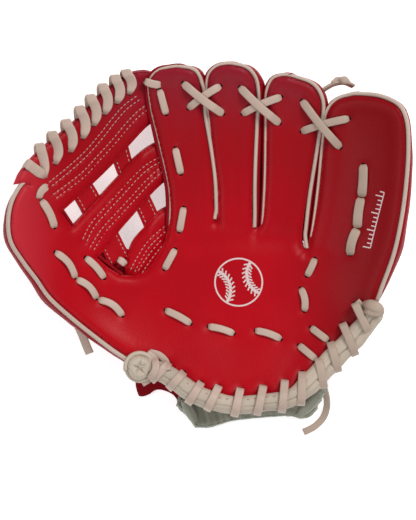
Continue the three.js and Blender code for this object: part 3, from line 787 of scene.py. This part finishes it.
for piece in BANDS:
    height = band_height(piece, BANDS[piece][2])
    parts = []
    for line in row_lines[piece]:
        parts += dashes(line, 2.0, 1.3, 0.37, lambda p: height(p, np.full(len(p), 9.0), None))
    dress(join(piece + "_stitches", parts, THREAD), "lace", "thumb")

STRIPS = {"web_strip_outer": ([[-98, 50], [-90, 39], [-80, 20], [-71, 2], [-64, -12]], 17.0),
          "web_strip_inner": ([[-66, 78], [-60, 57], [-50, 38], [-42, 21], [-36, 6]], 13.5)}
for piece, (line, width) in STRIPS.items():
    centre = catmull(line, 2.0)
    sides = np.vstack([inward(centre, width / 2), inward(centre, -width / 2)[::-1]])
    outline, real = chain((sides, True))

    def behind(points, distance, segment):
        return skin_at(points) - 6.2 - turned_down(distance, 2.5, 1.8)

    obj = leather_sheet(piece + "_leather", outline, [], behind, real, 2.2, RED)
    dress(obj, "palm_leather", "thumb", piece)
    parts = []
    for side in (1, -1):
        line = inward(centre, side * (width / 2 - 2.4))
        parts += dashes(line, 2.0, 1.4, 0.38, lambda p: behind(p, np.full(len(p), 9.0), None))
    dress(join(piece + "_stitches", parts, THREAD), "lace", "thumb")

foot_outline, foot_real = chain((catmull([[-86, 2], [-74, 4], [-62, 0], [-54, -8], [-50, -24], [-62, -30],
                                          [-78, -22], [-88, -8], [-86, 2]], 2.0)[:-1], True))
foot = leather_sheet("thumb_leather_turned_foot", foot_outline, [],
                     lambda points, distance, segment: skin_at(points) - 9.4, foot_real, 2.0, DARK_RED)
dress(foot, "palm_leather", "thumb")

# ---- finger backs and welts ----


def shell(grid, thickness):
    """A skin of the given thickness on the outside of a grid of points (rows, columns)."""
    rows, columns, _ = grid.shape
    n = np.cross(np.gradient(grid, axis=0), np.gradient(grid, axis=1))
    n /= np.maximum(np.linalg.norm(n, axis=2, keepdims=True), 1e-6)
    i = np.arange(rows)[:, None]
    k = np.arange(columns)[None, :] * math.pi / (columns - 1)
    sag = 0.45 * np.sin(i * 0.42 + 2.0 * k) + 0.35 * np.sin(i * 0.83 - 5.0 * k) * np.sin(k)
    outer = grid + n * (thickness + sag * np.sin(k))[:, :, None]
    vertices = np.vstack([outer.reshape(-1, 3), grid.reshape(-1, 3)])
    half = rows * columns
    faces = quads(rows, columns, ring=False) + quads(rows, columns, ring=False, base=half, flip=True)
    right = columns - 1
    last = (rows - 1) * columns
    for a in range(0, last, columns):
        c = a + columns
        faces.append((a, half + a, half + c, c))
        faces.append((a + right, c + right, half + c + right, half + a + right))
    for a in range(right):
        faces.append((a, a + 1, half + a + 1, half + a))
        faces.append((last + a, half + last + a, half + last + a + 1, last + a + 1))
    return vertices, faces


def stall_back(left, right, bulge_left, bulge_right, columns=34, count=44):
    """Outer skin of a finger stall hung between the two plan edges, bulging out past them."""
    share = np.linspace(0, 1, count) ** 0.8
    a, b = (picked(c, np.linspace(0, 1, len(c)), share) for c in (resample(left, 0.5), resample(right, 0.5)))
    b[-1] = b[-1] * 0.98 + b[-2] * 0.02
    a[-1] = a[-1] * 0.98 + a[-2] * 0.02
    span = np.linalg.norm(b - a, axis=1)
    turn = np.linspace(0, 1, columns)
    phi = math.pi * (turn - 0.1 * np.sin(2 * math.pi * turn))
    grid = np.zeros((count, columns, 3))
    bl = np.interp(share, np.linspace(0, 1, len(bulge_left)), bulge_left)
    br = np.interp(share, np.linspace(0, 1, len(bulge_right)), bulge_right)
    for i in range(count):
        across = (b[i] - a[i]) / max(span[i], 1e-6)
        middle = (a[i] + b[i]) / 2
        low = float(back(*middle)) + 3.0
        top_a = float(skin(*a[i])) - 3.6
        top_b = float(skin(*b[i])) - 3.6
        drop = max(((top_a + top_b) / 2 - low) * min(1.0, (span[i] / 26.0) ** 0.7), 5.0)
        s = -np.cos(phi)
        square = np.sign(s) * np.abs(s) ** 0.12
        out = np.where(s < 0, -bl[i], br[i]) * np.sin(phi) ** 0.28 * np.abs(square)
        h = square * span[i] / 2 + out
        grid[i, :, :2] = middle + across * h[:, None]
        grid[i, :, 2] = top_a + (top_b - top_a) * (s + 1) / 2 - drop * np.sin(phi) ** 0.85
    return grid


BULGES = {
    "thumb": ([4.0, 7.2, 8.4, 8.2, 7.0, 5.0, 2.0], [0, 0, 0, 0, 0, 0, 0]),
    "index": ([0.5, 1.0, 1.0, 0.8, 0.6, 0.5], [2.6, 3.0, 3.6, 4.6, 5.4, 3.2]),
    "middle": ([0.5, 0.8, 0.8, 0.8, 0.8, 0.5], [6.0, 7.2, 7.6, 7.6, 7.0, 3.0]),
    "ring": ([0.5, 0.8, 0.8, 0.8, 0.8, 0.5], [4.0, 6.0, 6.2, 5.4, 5.0, 3.2]),
    "little": ([0.8, 1.4, 1.4, 1.2, 1.0, 1.0, 1.0], [0.5, 5.5, 8.0, 7.4, 5.6, 4.2, 3.4, 2.6]),
}
STALL_EDGES = {name: [edge(name, side, 1.0) for side in (0, 1)] for name in EDGES}
STALL_STARTS = {("thumb", 1): [[-48, -80], [-50, -40], [-64, -21.5]], ("little", 0): [[78, -54], [76, -20]],
                ("little", 1): [[119, -52], [123.5, -43]]}
for (name, side), start in STALL_STARTS.items():
    STALL_EDGES[name][side] = np.vstack([resample(start, 1.0), STALL_EDGES[name][side]])
SIDE_OF = {"thumb": "thumb", "index": "palm", "middle": "palm", "ring": "palm", "little": "little"}
for name, (left, right) in STALL_EDGES.items():
    grid = stall_back(left, right, *BULGES[name])
    obj = make(name + "_back_leather", *shell(grid, 2.2), DARK_RED)
    dress(obj, "back_leather", SIDE_OF[name], name + "_back")

HOOKS = {
    "index": [[6, 20], [7.4, 16.8], [9.2, 16.2]],
    "middle": [[34.6, 18], [35.8, 13.8], [39.0, 12.8]],
    "ring": [[71.6, 4], [72.2, -1.2], [74.8, -1.8]],
}
WELT_OUT = {"thumb": (2.2, 1.0), "index": (-0.8, 1.6), "middle": (0.4, 1.6), "ring": (0.4, 1.6),
            "little": (0.8, 1.5)}
WELT_FROM = {"index": (15, 22), "middle": (24, 20), "ring": (12, 6), "little": (6, -40)}
for name in EDGES:
    left = edge(name, 0, 1.5)
    right = edge(name, 1, 1.5)[::-1]
    if name == "thumb":
        line = np.vstack([left, right[1:8]])
    else:
        low_left, low_right = WELT_FROM[name]
        line = np.vstack([left[left[:, 1] > low_left], right[right[:, 1] > low_right][1:]])
    if name == "little":
        line = np.vstack([line, [[126, -37], [123.5, -42.5]]])
    line = resample(line, 1.5)
    share = np.linspace(0, 1, len(line))
    tip = float(np.argmax(line[:, 1])) / len(line) if name != "thumb" else 0.93
    turned = smoothstep((share - tip + 0.12) / 0.24)
    first, second = WELT_OUT[name]
    path = inward(line, -(first + (second - first) * turned)[:, None])
    z = skin_at(line) - 3.0 - (0 if name == "thumb" else 1.0) * (1 - turned)
    path = np.column_stack([path, z])
    if name in HOOKS:
        hook = np.array(HOOKS[name], float)
        path = np.vstack([path[:-1], np.column_stack([hook, skin_at(hook) - np.array([2.4, 1.6, 1.8])])])
    path = catmull(path[::3], 1.2)
    radius = 1.6 if name in ("thumb", "little") else 1.45
    slim = 1.0 if name == "thumb" else 0.72
    obj = make(name + "_welt_strip", *bar(path, radius, 10, lambda a, u: slim + (1 - slim) * float(
        smoothstep((u - tip + 0.12) / 0.24))), WELT)
    dress(obj, "welt", SIDE_OF[name], name + "_welt")

# ---- laces ----

LACE_W = 5.4
LACE_T = 1.9

def stitch(start, end, bow=0.0, arch=0.6, ride=0.0, width=LACE_W, seed=0):
    """One lace stitch that comes out of a hole, lies on the leather and dives into the next hole."""
    a = np.array(start, float)
    b = np.array(end, float)
    d = b - a
    length = np.linalg.norm(d)
    d /= length
    n = np.array([-d[1], d[0]])
    u = np.linspace(0, 1, 15)
    plan = a + d * (u * length)[:, None] + n * (bow * np.sin(math.pi * u))[:, None]
    lift = 1.15 + arch * np.sin(math.pi * u) + ride * np.clip(2.2 * np.sin(math.pi * u) - 0.4, 0, 1)
    z = skin_at(plan) + lift
    path = np.column_stack([plan, z])
    inner = 0.6
    first = [[*(a + d * inner), path[0, 2] - 5.4], [*(a + d * 0.1), path[0, 2] - 1.6]]
    last = [[*(b - d * 0.1), path[-1, 2] - 1.6], [*(b - d * inner), path[-1, 2] - 5.4]]
    path = catmull(np.vstack([first, path[1:-1], last]), 0.9)
    gx, gy = slopes(skin_at, path[:, :2], 0.5)
    m = leftward(path[:, :2])
    m[np.linalg.norm(m, axis=1) < 0.5] = n
    wobble = 0.12 * np.sin(np.linspace(0, 5, len(path)) + seed)
    across = np.column_stack([m, gx * m[:, 0] + gy * m[:, 1] + wobble])
    ends = np.minimum(np.arange(len(path)), np.arange(len(path))[::-1])
    return sweep(path, across, width, LACE_T, narrowing=0.62 + 0.38 * smoothstep((ends - 3) / 5.0))


def stitches(name, pairs, side, node, bows=None, **options):
    parts = []
    for k, (a, b) in enumerate(pairs):
        parts.append(stitch(a, b, bow=bows[k] if bows else 0.0, seed=k * 1.7, **options))
    dress(join(name, parts, LACE), "lace", side, node)


def on_web(points):
    return rolled(points, np.full(len(points), 9.0), None) - tuck(points)


stitches("palm_stitches", PALM_STITCHES, "palm", "palm_lace", [0.6, 0.8, 1.0])
stitches("thumb_stitches", THUMB_ROW, "thumb", "thumb_row_lace", [2.6, 2.4, 2.6], arch=1.0)
stitches("little_finger_stitches", LITTLE_ROW, "little", "little_finger_lace", [0.3, -0.6, -1.2], width=7.2)
stitches("side_stitches_upper", SIDE_ROW[:2], "little", "side_lace_upper", [0.2, 1.4])
stitches("side_stitches_middle", [SIDE_ROW[2]], "little", "side_lace_middle")
stitches("side_stitches_lower", [SIDE_ROW[3]], "little", "side_lace_lower")
stitches("web_stitches_lower", WEB_LOWER + [[[-65, -10], [-60.5, -13.5]]], "thumb", "web_thumb_lace_lower",
         [1.0, 0.3])
stitches("web_stitches_upper", WEB_UPPER + [[[-117.5, 43.5], [-123, 35.5]]], "thumb_side",
         "web_thumb_lace_upper", [1.2, -1.2], width=6.2)
index_parts = [stitch(a, b, seed=k) for k, (a, b) in enumerate(INDEX_ROW)]
index_parts.append(stitch([-45, 121.5], [-34.5, 119], bow=-0.6, width=6.0))
dress(join("index_stitches", index_parts, LACE), "lace", "palm", "index_lace")
for pair, (under, over) in CROSSES.items():
    side = "little" if pair == "ring_little" else "palm"
    stitches(pair + "_strap_under", [under], side, pair + "_lace_under", [0.8], ride=0.8, width=5.9)
    stitches(pair + "_strap_over", [over], side, pair + "_lace_over", [-1.0], ride=2.9, width=6.2)

wraps = []
for k, (hole, top) in enumerate(WRAP_ENDS):
    hole = np.array(hole, float)
    top = np.array(top, float)
    d = (top - hole) / np.linalg.norm(top - hole)
    side = np.array([d[1], -d[0]])
    reach = np.linalg.norm(top - hole)
    bulge = 2.8 if k > 1 else 1.0
    plan = np.array([hole + d * reach * u + side * bulge * math.sin(math.pi * min(1, u * 1.05)) for u in
                     (0.0, 0.12, 0.3, 0.5, 0.7, 0.88)])
    if k == 0:
        plan = np.array([hole + (top - hole) * u for u in (0.0, 0.15, 0.35, 0.55, 0.75, 0.92)])
    level = on_web(plan) + 1.5
    level[0] -= 3.5
    body = np.column_stack([plan, level])
    tip_z = float(on_web(top[None])[0])
    extra = [[*(top + d * 0.4), tip_z + 0.2], [*(top + d * 1.4 - side * 0.8), tip_z - 3.2],
             [*(top - d * 1.5 - side * 1.6), tip_z - 6.4], [*(top - d * 7 - side * 1.6), tip_z - 7.0]]
    path = catmull(np.vstack([[[*(hole - d * 0.2), level[0] - 3]], body, extra]), 1.0)
    across = [side[0], side[1], 0.18]
    run = run_of(path)
    crest = run[int(np.argmax((path[:, :2] - hole) @ d))]
    narrowing = 0.5 + 0.5 * smoothstep((run - 3) / 9.0) - 0.26 * np.exp(-((run - crest) / 2.4) ** 2)
    wraps.append(sweep(path, across, 7.6, 2.3, corner=0.42, narrowing=narrowing))
dress(join("web_edge_wraps", wraps, LACE), "lace", "thumb", "web_edge_lace")

# ---- heel binding ----

ROLL_HALF = 6.9
ROLL_RISE = 5.6
heel_z = front(heel_line[:, 0], heel_line[:, 1]) - 0.6
roll_path = np.column_stack([heel_line, heel_z])


def roll_profile(angle, share):
    """Flattened section with lengthwise creases; angle 0 faces the palm and 90 degrees faces up."""
    r = 1 / math.sqrt(math.cos(angle) ** 2 + (math.sin(angle) * ROLL_HALF / ROLL_RISE) ** 2)
    sway = 0.06 * math.sin(share * 31) + 0.05 * math.sin(share * 13 + 1)
    parted = 1 / (1 + math.exp((share - 0.44) / 0.03))
    for centre, depth, breadth in ((1.15 + sway, 0.055, 0.07), (2.05 - sway, 0.12 + 0.20 * parted, 0.10),
                                   (2.75 + sway, 0.09, 0.10)):
        r -= depth * math.exp(-((angle - centre) / breadth) ** 2)
    r += 0.36 * parted * min(1.0, share / 0.14) * math.exp(-((angle - 3.0) / 0.75) ** 2)
    r *= 1 - 0.17 * math.exp(-((share - 0.55) / 0.16) ** 4)
    r *= math.sqrt(max(0.02, 1 - max(0.0, 1 - share / 0.03) ** 2))
    r *= 1 + 0.035 / (1 + math.exp((angle - 2.05 + sway) / 0.05))
    r *= 1 + 0.02 * math.sin(share * 57 + angle * 2) + 0.012 * math.sin(share * 131 + angle)
    return r


def roll_level(p):
    """Height of whatever lies uppermost at a plan point: the palm leather or the rolled binding."""
    d, k = edge_distance(p, heel_line[:-1], heel_line[1:])
    a = heel_line[k]
    t = heel_line[k + 1] - a
    outward = np.sign(t[:, 0] * (p[:, 1] - a[:, 1]) - t[:, 1] * (p[:, 0] - a[:, 0]))
    parted = 1 / (1 + np.exp((k / len(heel_line) - 0.44) / 0.03))
    half = ROLL_HALF * np.where(outward > 0, 1 + 0.32 * parted * np.clip(k / len(heel_line) / 0.14, 0, 1), 1)
    s = np.clip(1 - (d / half) ** 2, 0, 1)
    roll = heel_z[k] + ROLL_RISE * np.sqrt(s)
    roll = np.where(d < half, roll, -1e3)
    palm = np.where(outward < 0, skin(p[:, 0], p[:, 1]), -1e3)
    return np.maximum(roll, palm), d * outward * ROLL_HALF / half, heel_z[k]


split_at = int(np.argmin(np.abs(heel_line[:, 0] - 40)))
for piece, section, side, node in (
        ("heel_roll_right", roll_path[:split_at + 1], "little", "little_heel_binding"),
        ("heel_roll_left", roll_path[split_at:], "thumb", "heel_binding")):
    offset = 0.0 if side == "little" else split_at / len(roll_path)
    scale = len(section) / len(roll_path)
    line = resample(section, 1.5)
    obj = make(piece, *bar(line, ROLL_HALF, 48, lambda a, u: roll_profile(a, offset + scale * u)), BINDING)
    dress(obj, "binding", side, node)
    low = line.copy()
    low[:, :2] = inward(line[:, :2], -3.4)
    low[:, 2] -= 4.8
    low = low[4:] if side == "little" else low
    under = make(piece + "_inner_layer", *bar(low, 4.2, 20, lambda a, u: 1 + 0.03 * math.sin(u * 40 + 3 * a)),
                 BINDING)
    dress(under, "binding", side)
    seam = inward(line[:, :2], 3.6)
    parts = dashes(seam, 1.6, 3.6, 0.32, lambda p: roll_level(p)[0])
    dress(join(piece + "_stitches", parts, THREAD), "binding", side)


def heel_wrap(hole, bottom, seed=0):
    a = np.array(hole, float)
    b = np.array(bottom, float)
    d = (b - a) / np.linalg.norm(b - a)
    plan = a + (b - a) * np.linspace(0, 1, 18)[:, None]
    top, q, base = roll_level(plan)
    keep = q < ROLL_HALF * 0.93
    plan, top, q, base = plan[keep], top[keep], q[keep], base[keep]
    z = np.maximum(top + 1.15, base + 0.5)
    for _ in range(60):
        z[1:-1] = np.maximum(z[1:-1], (z[:-2] + z[2:]) / 2)
    z[0] -= 2.4
    end = plan[-1]
    ez = base[-1]
    extra = [[*(end + d * 2.0), ez + 1.0], [*(end + d * 2.6), ez - 3.5], [*(end + d * 1.2), ez - 8.0],
             [*(end - d * 4.0), ez - 10.6]]
    path = catmull(np.vstack([[[*(a + d * 0.2), z[0] - 3.4]], np.column_stack([plan, z]), extra]), 1.1)
    n = np.array([-d[1], d[0]])
    across = [n[0], n[1], 0.06 * math.sin(seed * 2.1)]
    return sweep(path, across, 6.2, 2.0)


left_wraps, right_wraps = [[heel_wrap(a, b, k) for k, (a, b) in enumerate(HEEL_WRAPS) if (a[0] < 44) == left]
                           for left in (True, False)]


def arc_strap(points, width=5.8, lift=1.2, tilt=0.0):
    """Lace lying over the binding along a plan curve."""
    plan = catmull(points, 1.1)
    top, q, base = roll_level(plan)
    z = np.maximum(top + lift, base - 1.5)
    across = np.column_stack([leftward(plan), np.full(len(plan), tilt)])
    return sweep(np.column_stack([plan, z]), across, width, 2.0)


left_wraps.append(arc_strap([[-44, -79.5], [-38.5, -84], [-37.5, -91], [-42, -98], [-48, -102]], 5.6, 2.6))
left_wraps.append(arc_strap([[-42, -79], [-35, -81], [-30, -86], [-28.5, -92]], 5.2, 1.4))
dress(join("heel_wraps_left", left_wraps, LACE), "lace", "thumb", "heel_lace")
dress(join("heel_wraps_right", right_wraps, LACE), "lace", "little", "little_heel_lace")

# The thumb end of the binding is rolled up, its end pinched together like a bun.
COIL = np.array([-49.5, -90.0])
coil_top = float(front(*COIL)) + 6.0
rings = np.array([0, 0.6, 1.3, 2.2, 3.3, 4.6, 6.0, 7.4, 8.4, 9.0, 9.2, 9.1])
LAST_RINGS = {10: 1.2, 11: 4.0}  # how far the outermost rings drop
angles = np.linspace(0, 2 * math.pi, 60, endpoint=False)
coil_rows = []
for k, r in enumerate(rings):
    row = []
    for a in angles:
        fold = sum(math.exp(-((math.sin((a - f) / 2) * 2 * max(r, 0.4)) / 0.55) ** 2) * (math.cos(a - f) > 0)
                   for f in (0.4, 1.5, 2.9, 4.1, 5.3))
        z = coil_top - 3.2 * math.exp(-r / 1.5) - 1.7 * fold * math.exp(-((r - 2.5) / 3.2) ** 2)
        z -= 4.5 * max(0.0, (r - 5.5) / 3.7) ** 2.4 + LAST_RINGS.get(k, 0.0)
        wide = r * (1 + 0.04 * math.sin(3 * a + 0.5))
        row.append([COIL[0] + wide * math.cos(a), COIL[1] + wide * math.sin(a), z])
    coil_rows.append(row)
for drop, r in ((11.0, 9.4), (15.0, 7.5), (16.0, 3.0)):
    coil_rows.append([[COIL[0] + r * math.cos(a), COIL[1] + r * math.sin(a), coil_top - drop]
                      for a in angles])
coil_rows = np.array(coil_rows)
m = len(angles)
last = (len(coil_rows) - 1) * m
faces = quads(len(coil_rows), m) + [tuple(range(last, last + m))[::-1]]
coil = make("binding_coil", coil_rows.reshape(-1, 3), faces, BINDING)
dress(coil, "binding", "thumb", "binding_end_coil")
turn = np.linspace(-3.6, 3.4, 80)
reach = 9.6 + 0.8 * smoothstep((turn + 3.6) / 5.0)
loop = np.column_stack([COIL[0] + reach * np.cos(turn), COIL[1] + reach * np.sin(turn),
                        coil_top - 7.4 + 0.5 * turn])
outer_turn = bar(loop, 2.3, 14, lambda a, u: 0.75 + 0.25 * abs(math.sin(a)))
dress(make("binding_coil_outer_turn", *outer_turn, BINDING), "binding", "thumb")

knob_path = catmull([[117, -42.5, float(front(117, -42.5)) + 3], [122, -44.5, float(front(122, -44.5)) + 5.2],
                     [127, -47, float(front(127, -47)) + 4.0], [129.5, -50, float(front(129, -50)) - 1]], 0.8)
knob = bar(knob_path, 5.0, 18, lambda a, u: max(0.25, blunt(u, 0.06, 0.5))
           * (1 - 0.10 * math.exp(-((a - 1.7) / 0.2) ** 2)))
knot_strap = arc_strap([[111, -41], [116, -46], [122, -49], [129, -49.5]], 5.6, 2.2, 0.2)
dress(join("heel_knot", [knob, knot_strap], LACE), "lace", "little", "little_heel_knot")

# ---- printed marks ----


def ribbon(plan, width, height=0.16):
    """Thin printed line on the palm leather."""
    n = leftward(np.asarray(plan, float))
    rows = [plan + n * width * k / 2 for k in (-1, -0.33, 0.33, 1)]
    vertices = np.vstack([np.column_stack([r, skin_at(r) + height]) for r in rows])
    return vertices, quads(len(rows), len(plan), ring=False)


BALL = np.array([24.0, -27.0])
BALL_R = 17.6
round_angles = np.linspace(0, 2 * math.pi, 73)
marks = [ribbon(BALL + BALL_R * np.column_stack([np.cos(round_angles), np.sin(round_angles)]), 1.2)]
for sign in (-1, 1):
    seam_centre = BALL + np.array([sign * 21.5, sign * 6.0])
    sweep_angles = np.linspace(-0.86, 0.86, 30) + (math.pi if sign > 0 else 0) + math.atan2(6.0, 21.5)
    seam_line = seam_centre + 15.5 * np.column_stack([np.cos(sweep_angles), np.sin(sweep_angles)])
    seam_line = seam_line[np.linalg.norm(seam_line - BALL, axis=1) < BALL_R - 0.6]
    marks.append(ribbon(seam_line, 2.2))
    for k in range(2, len(seam_line) - 2, 3):
        p = seam_line[k]
        t = tangents(seam_line)[k]
        outer = (p - seam_centre) / np.linalg.norm(p - seam_centre)
        for spread in (1, -1):
            far = p + outer * spread * 3.4 + t * 1.8
            marks.append(ribbon(np.linspace(p + outer * spread * 0.8, far, 4), 1.1))
dress(join("palm_ball_mark", marks, PRINT), "lace", "palm")

scale_line = resample([[118.5, -1], [121, 10], [124.5, 24], [128.5, 40]], 3.2)
marks = []
for k, p in enumerate(scale_line):
    t = tangents(scale_line)[k]
    n = np.array([-t[1], t[0]])
    half = 2.7 if k % 4 == 0 else 1.5
    marks.append(ribbon(np.linspace(p - n * 2.7, p - n * 2.7 + n * 2 * half, 4), 0.9))
marks.append(ribbon(resample(inward(scale_line, 2.9), 1.5), 0.7))
dress(join("little_finger_scale_mark", marks, PRINT), "lace", "little")

# ---- wrist strap, back of the hand and the soft layers inside ----


def closed(points, spacing=2.0):
    return catmull(list(points) + [points[0]], spacing)[:-1]


def soft(level, edge_radius, drop, ripple=0.0):
    """A height for a soft layer: level(x, y), rounded down along its edge, with gentle ripples."""
    def height(points, distance, segment):
        x, y = points[:, 0], points[:, 1]
        wave = ripple * (np.sin(x * 0.55 + np.sin(y * 0.2)) + 0.6 * np.sin(x * 1.3 + y * 0.3))
        return level(x, y) - turned_down(distance, edge_radius, drop) + wave
    return height


def layer(name, points, height, thickness, mat, slot, side, *nodes, holes=(), coarse=3.2):
    outline, real = chain((closed(points), True))
    obj = leather_sheet(name, outline, list(holes), height, real, thickness, mat, coarse=coarse)
    return dress(obj, slot, side, *nodes)


def strap_bend(x, y=0):
    return rise(-x + 2, 40, 22) + rise(x - 62, 40, 22)


layer("wrist_strap_back", [[-20, -118], [-14, -106], [30, -106], [66, -106], [82, -112], [80, -121],
                           [70, -125], [40, -123], [18, -125.5], [3, -131], [-6, -132], [-12, -127]],
      soft(lambda x, y: strap_bend(x) + 4.0, 3.0, 1.2, 0.1), 2.6, DARK_RED, "back_leather", "palm",
      "wrist_strap")
layer("wrist_strap_inner", [[-21, -119], [-14, -105], [30, -104], [68, -105], [85, -111], [82, -121],
                            [76, -127.5], [70, -129], [64, -127.5], [40, -128.5], [18, -131], [3, -135],
                            [-7, -135], [-12, -129]],
      soft(lambda x, y: strap_bend(x) + 7.6 + 0.01 * (y + 115) ** 2, 3.6, 3.2, 0.35), 3.4, STRAP,
      "lining", "palm", "wrist_strap_lining", coarse=2.0)
for name, line, radius in (
        ("wrist_strap_roll_right", [[87, -107, 27], [83, -112, 21], [78, -118, 15], [72, -124, 9.5],
                                    [69, -127, 7]], 4.6),
        ("wrist_strap_roll_left", [[-17, -115, 16], [-14, -121, 12.5], [-10, -128, 9], [-7, -133, 7]], 4.2)):
    path = catmull(line, 1.2)
    piece = make(name, *bar(path, radius, 20, lambda a, u: (1 - 0.16 * math.exp(-((a - 1.9) / 0.16) ** 2))
                            * max(0.5, blunt(u, 0.1, 0.3))), STRAP)
    dress(piece, "lining", "palm")

layer("hand_back_leather", [[-44, -20], [-38, 0], [-28, 11.4], [3, 12], [34, 11.4], [50, 5], [72, 3.4],
                            [72, -10], [68, -34], [66, -70], [66, -100], [30, -104], [-10, -105],
                            [-11, -121], [-15.5, -127], [-19, -122], [-25, -112], [-37, -108],
                            [-44, -112], [-50, -113], [-53, -106],
                            [-53, -98], [-50, -80], [-46, -62]],
      soft(lambda x, y: 3.2 + 0 * x, 2.6, 0.7), 2.2, DARK_RED, "back_leather", "palm", "hand_back")

LINING_LEVEL = 10.4
layer("palm_lining_cloth", [[-38, -66], [-34, -8], [-24, 2], [60, 1], [62, -30], [57, -88], [34, -98],
                            [6, -98], [-18, -88]],
      soft(lambda x, y: front(x, y) - LINING_LEVEL, 2.0, 1.0, 0.3), 1.3, LINING, "lining", "palm",
      "palm_lining")
layer("back_lining_cloth", [[-40, -60], [-36, -10], [-26, 8], [60, 2], [64, -30], [62, -98], [-14, -102],
                            [-40, -98]],
      soft(lambda x, y: 5.2 + 0 * x, 2.0, 1.0, 0.3), 1.3, LINING, "lining", "palm", "back_lining")

PADS = {
    "palm_pad": ([[-30, -42], [-26, -10], [-10, 2], [22, 2], [50, -1], [58, -20], [50, -44], [10, -52]],
                 "palm"),
    "heel_pad": ([[-40, -68], [-20, -63], [-4, -67], [20, -71], [38, -75], [54, -79], [55, -97], [36, -104],
                  [10, -107], [-8, -103], [-26, -90], [-38, -80]], "thumb"),
    "thumb_pad": ([[-56, -66], [-54, -34], [-76, -27], [-96, -2], [-112, 14], [-118, -8], [-100, -36],
                   [-78, -56]], "thumb"),
    "little_finger_pad": ([[80, -6], [67, -28], [64, -50], [61, -70], [60, -92], [72, -96], [94, -76],
                           [112, -48], [118, -30], [130, 4], [128, 34], [110, 40], [94, 20]], "little"),
}
for name, (points, side) in PADS.items():
    pad = layer(name + "_felt", points, soft(lambda x, y: front(x, y) - 4.6, 5.0, 3.2, 0.1), 5.0, FELT,
                "felt", side, name, coarse=4.0)

for name, line, across, side in (
        ("thumb_loop", [[-72, -56, 14], [-72, -54, 25], [-72, -45, 31], [-72, -36, 25], [-72, -34, 14]],
         (1, 0, 0), "thumb_side"),
        ("little_finger_loop", [[100, 8, 17], [101.5, 8, 28], [112, 8, 33], [123, 8, 30], [126, 8, 19]],
         (0, 1, 0), "little_side")):
    path = catmull(line, 1.5)
    strip = make(name + "_strip", *sweep(path, across, 11.5, 1.6), LINING)
    dress(strip, "lining", side, name)

path = catmull([[84, 113, 44], [89, 117, 46], [95, 120, 47.5], [102, 121, 47], [109, 118.5, 44]], 1.0)
strap = sweep(path, (0, 0.5, 1.0), 5.4, 1.9)
dress(make("finger_back_strap", *strap, LACE), "lace", "little_side", "finger_back_lace")
path = catmull([[93, 121, 50], [97, 123.5, 48], [102, 122.5, 50.5], [107, 120, 50], [109, 119, 47]], 0.8)
knot = bar(path, 3.3, 14, lambda a, u: (0.8 + 0.2 * math.sin(u * 14)) * max(0.4, blunt(u, 0.1)))
dress(make("finger_back_knot_tied", *knot, LACE), "lace", "little_side", "finger_back_knot")
path = catmull([[-96, -58, 40], [-92.5, -66, 36], [-89.5, -74, 33], [-87, -80, 31]], 1.0)
strap = sweep(path, (1, 0.35, 0.1), 6.4, 2.0)
dress(make("thumb_lace_end_strap", *strap, LACE), "lace", "thumb_side", "thumb_lace_end")

# ---- close ----
floor_mesh = bpy.data.meshes.new("floor")
floor_mesh.from_pydata([(-6, -6, 0), (6, -6, 0), (6, 6, 0), (-6, 6, 0)], [], [(0, 1, 2, 3)])
floor = bpy.data.objects.new("floor", floor_mesh)
scene.collection.objects.link(floor)
floor.location.z = -0.0004
floor_paint, floor_tree, floor_shader = material("floor_paint")
fill(floor_tree, floor_shader, {"Base Color": (0.93, 0.93, 0.93, 1), "Emission Color": (1, 1, 1, 1),
                                "Emission Strength": 0.5, "Roughness": 0.9})
floor_mesh.materials.append(floor_paint)

slot_material = {"palm_leather": RED, "back_leather": DARK_RED, "lace": LACE, "binding": BINDING,
                 "welt": WELT, "felt": FELT, "lining": LINING}
slot_of = {part["node"]: part["material_slot"] for part in frame["record"]["subparts"]}
for name, node in frame["nodes"].items():
    node.data.materials.clear()
    node.data.materials.append(slot_material[slot_of[name]])
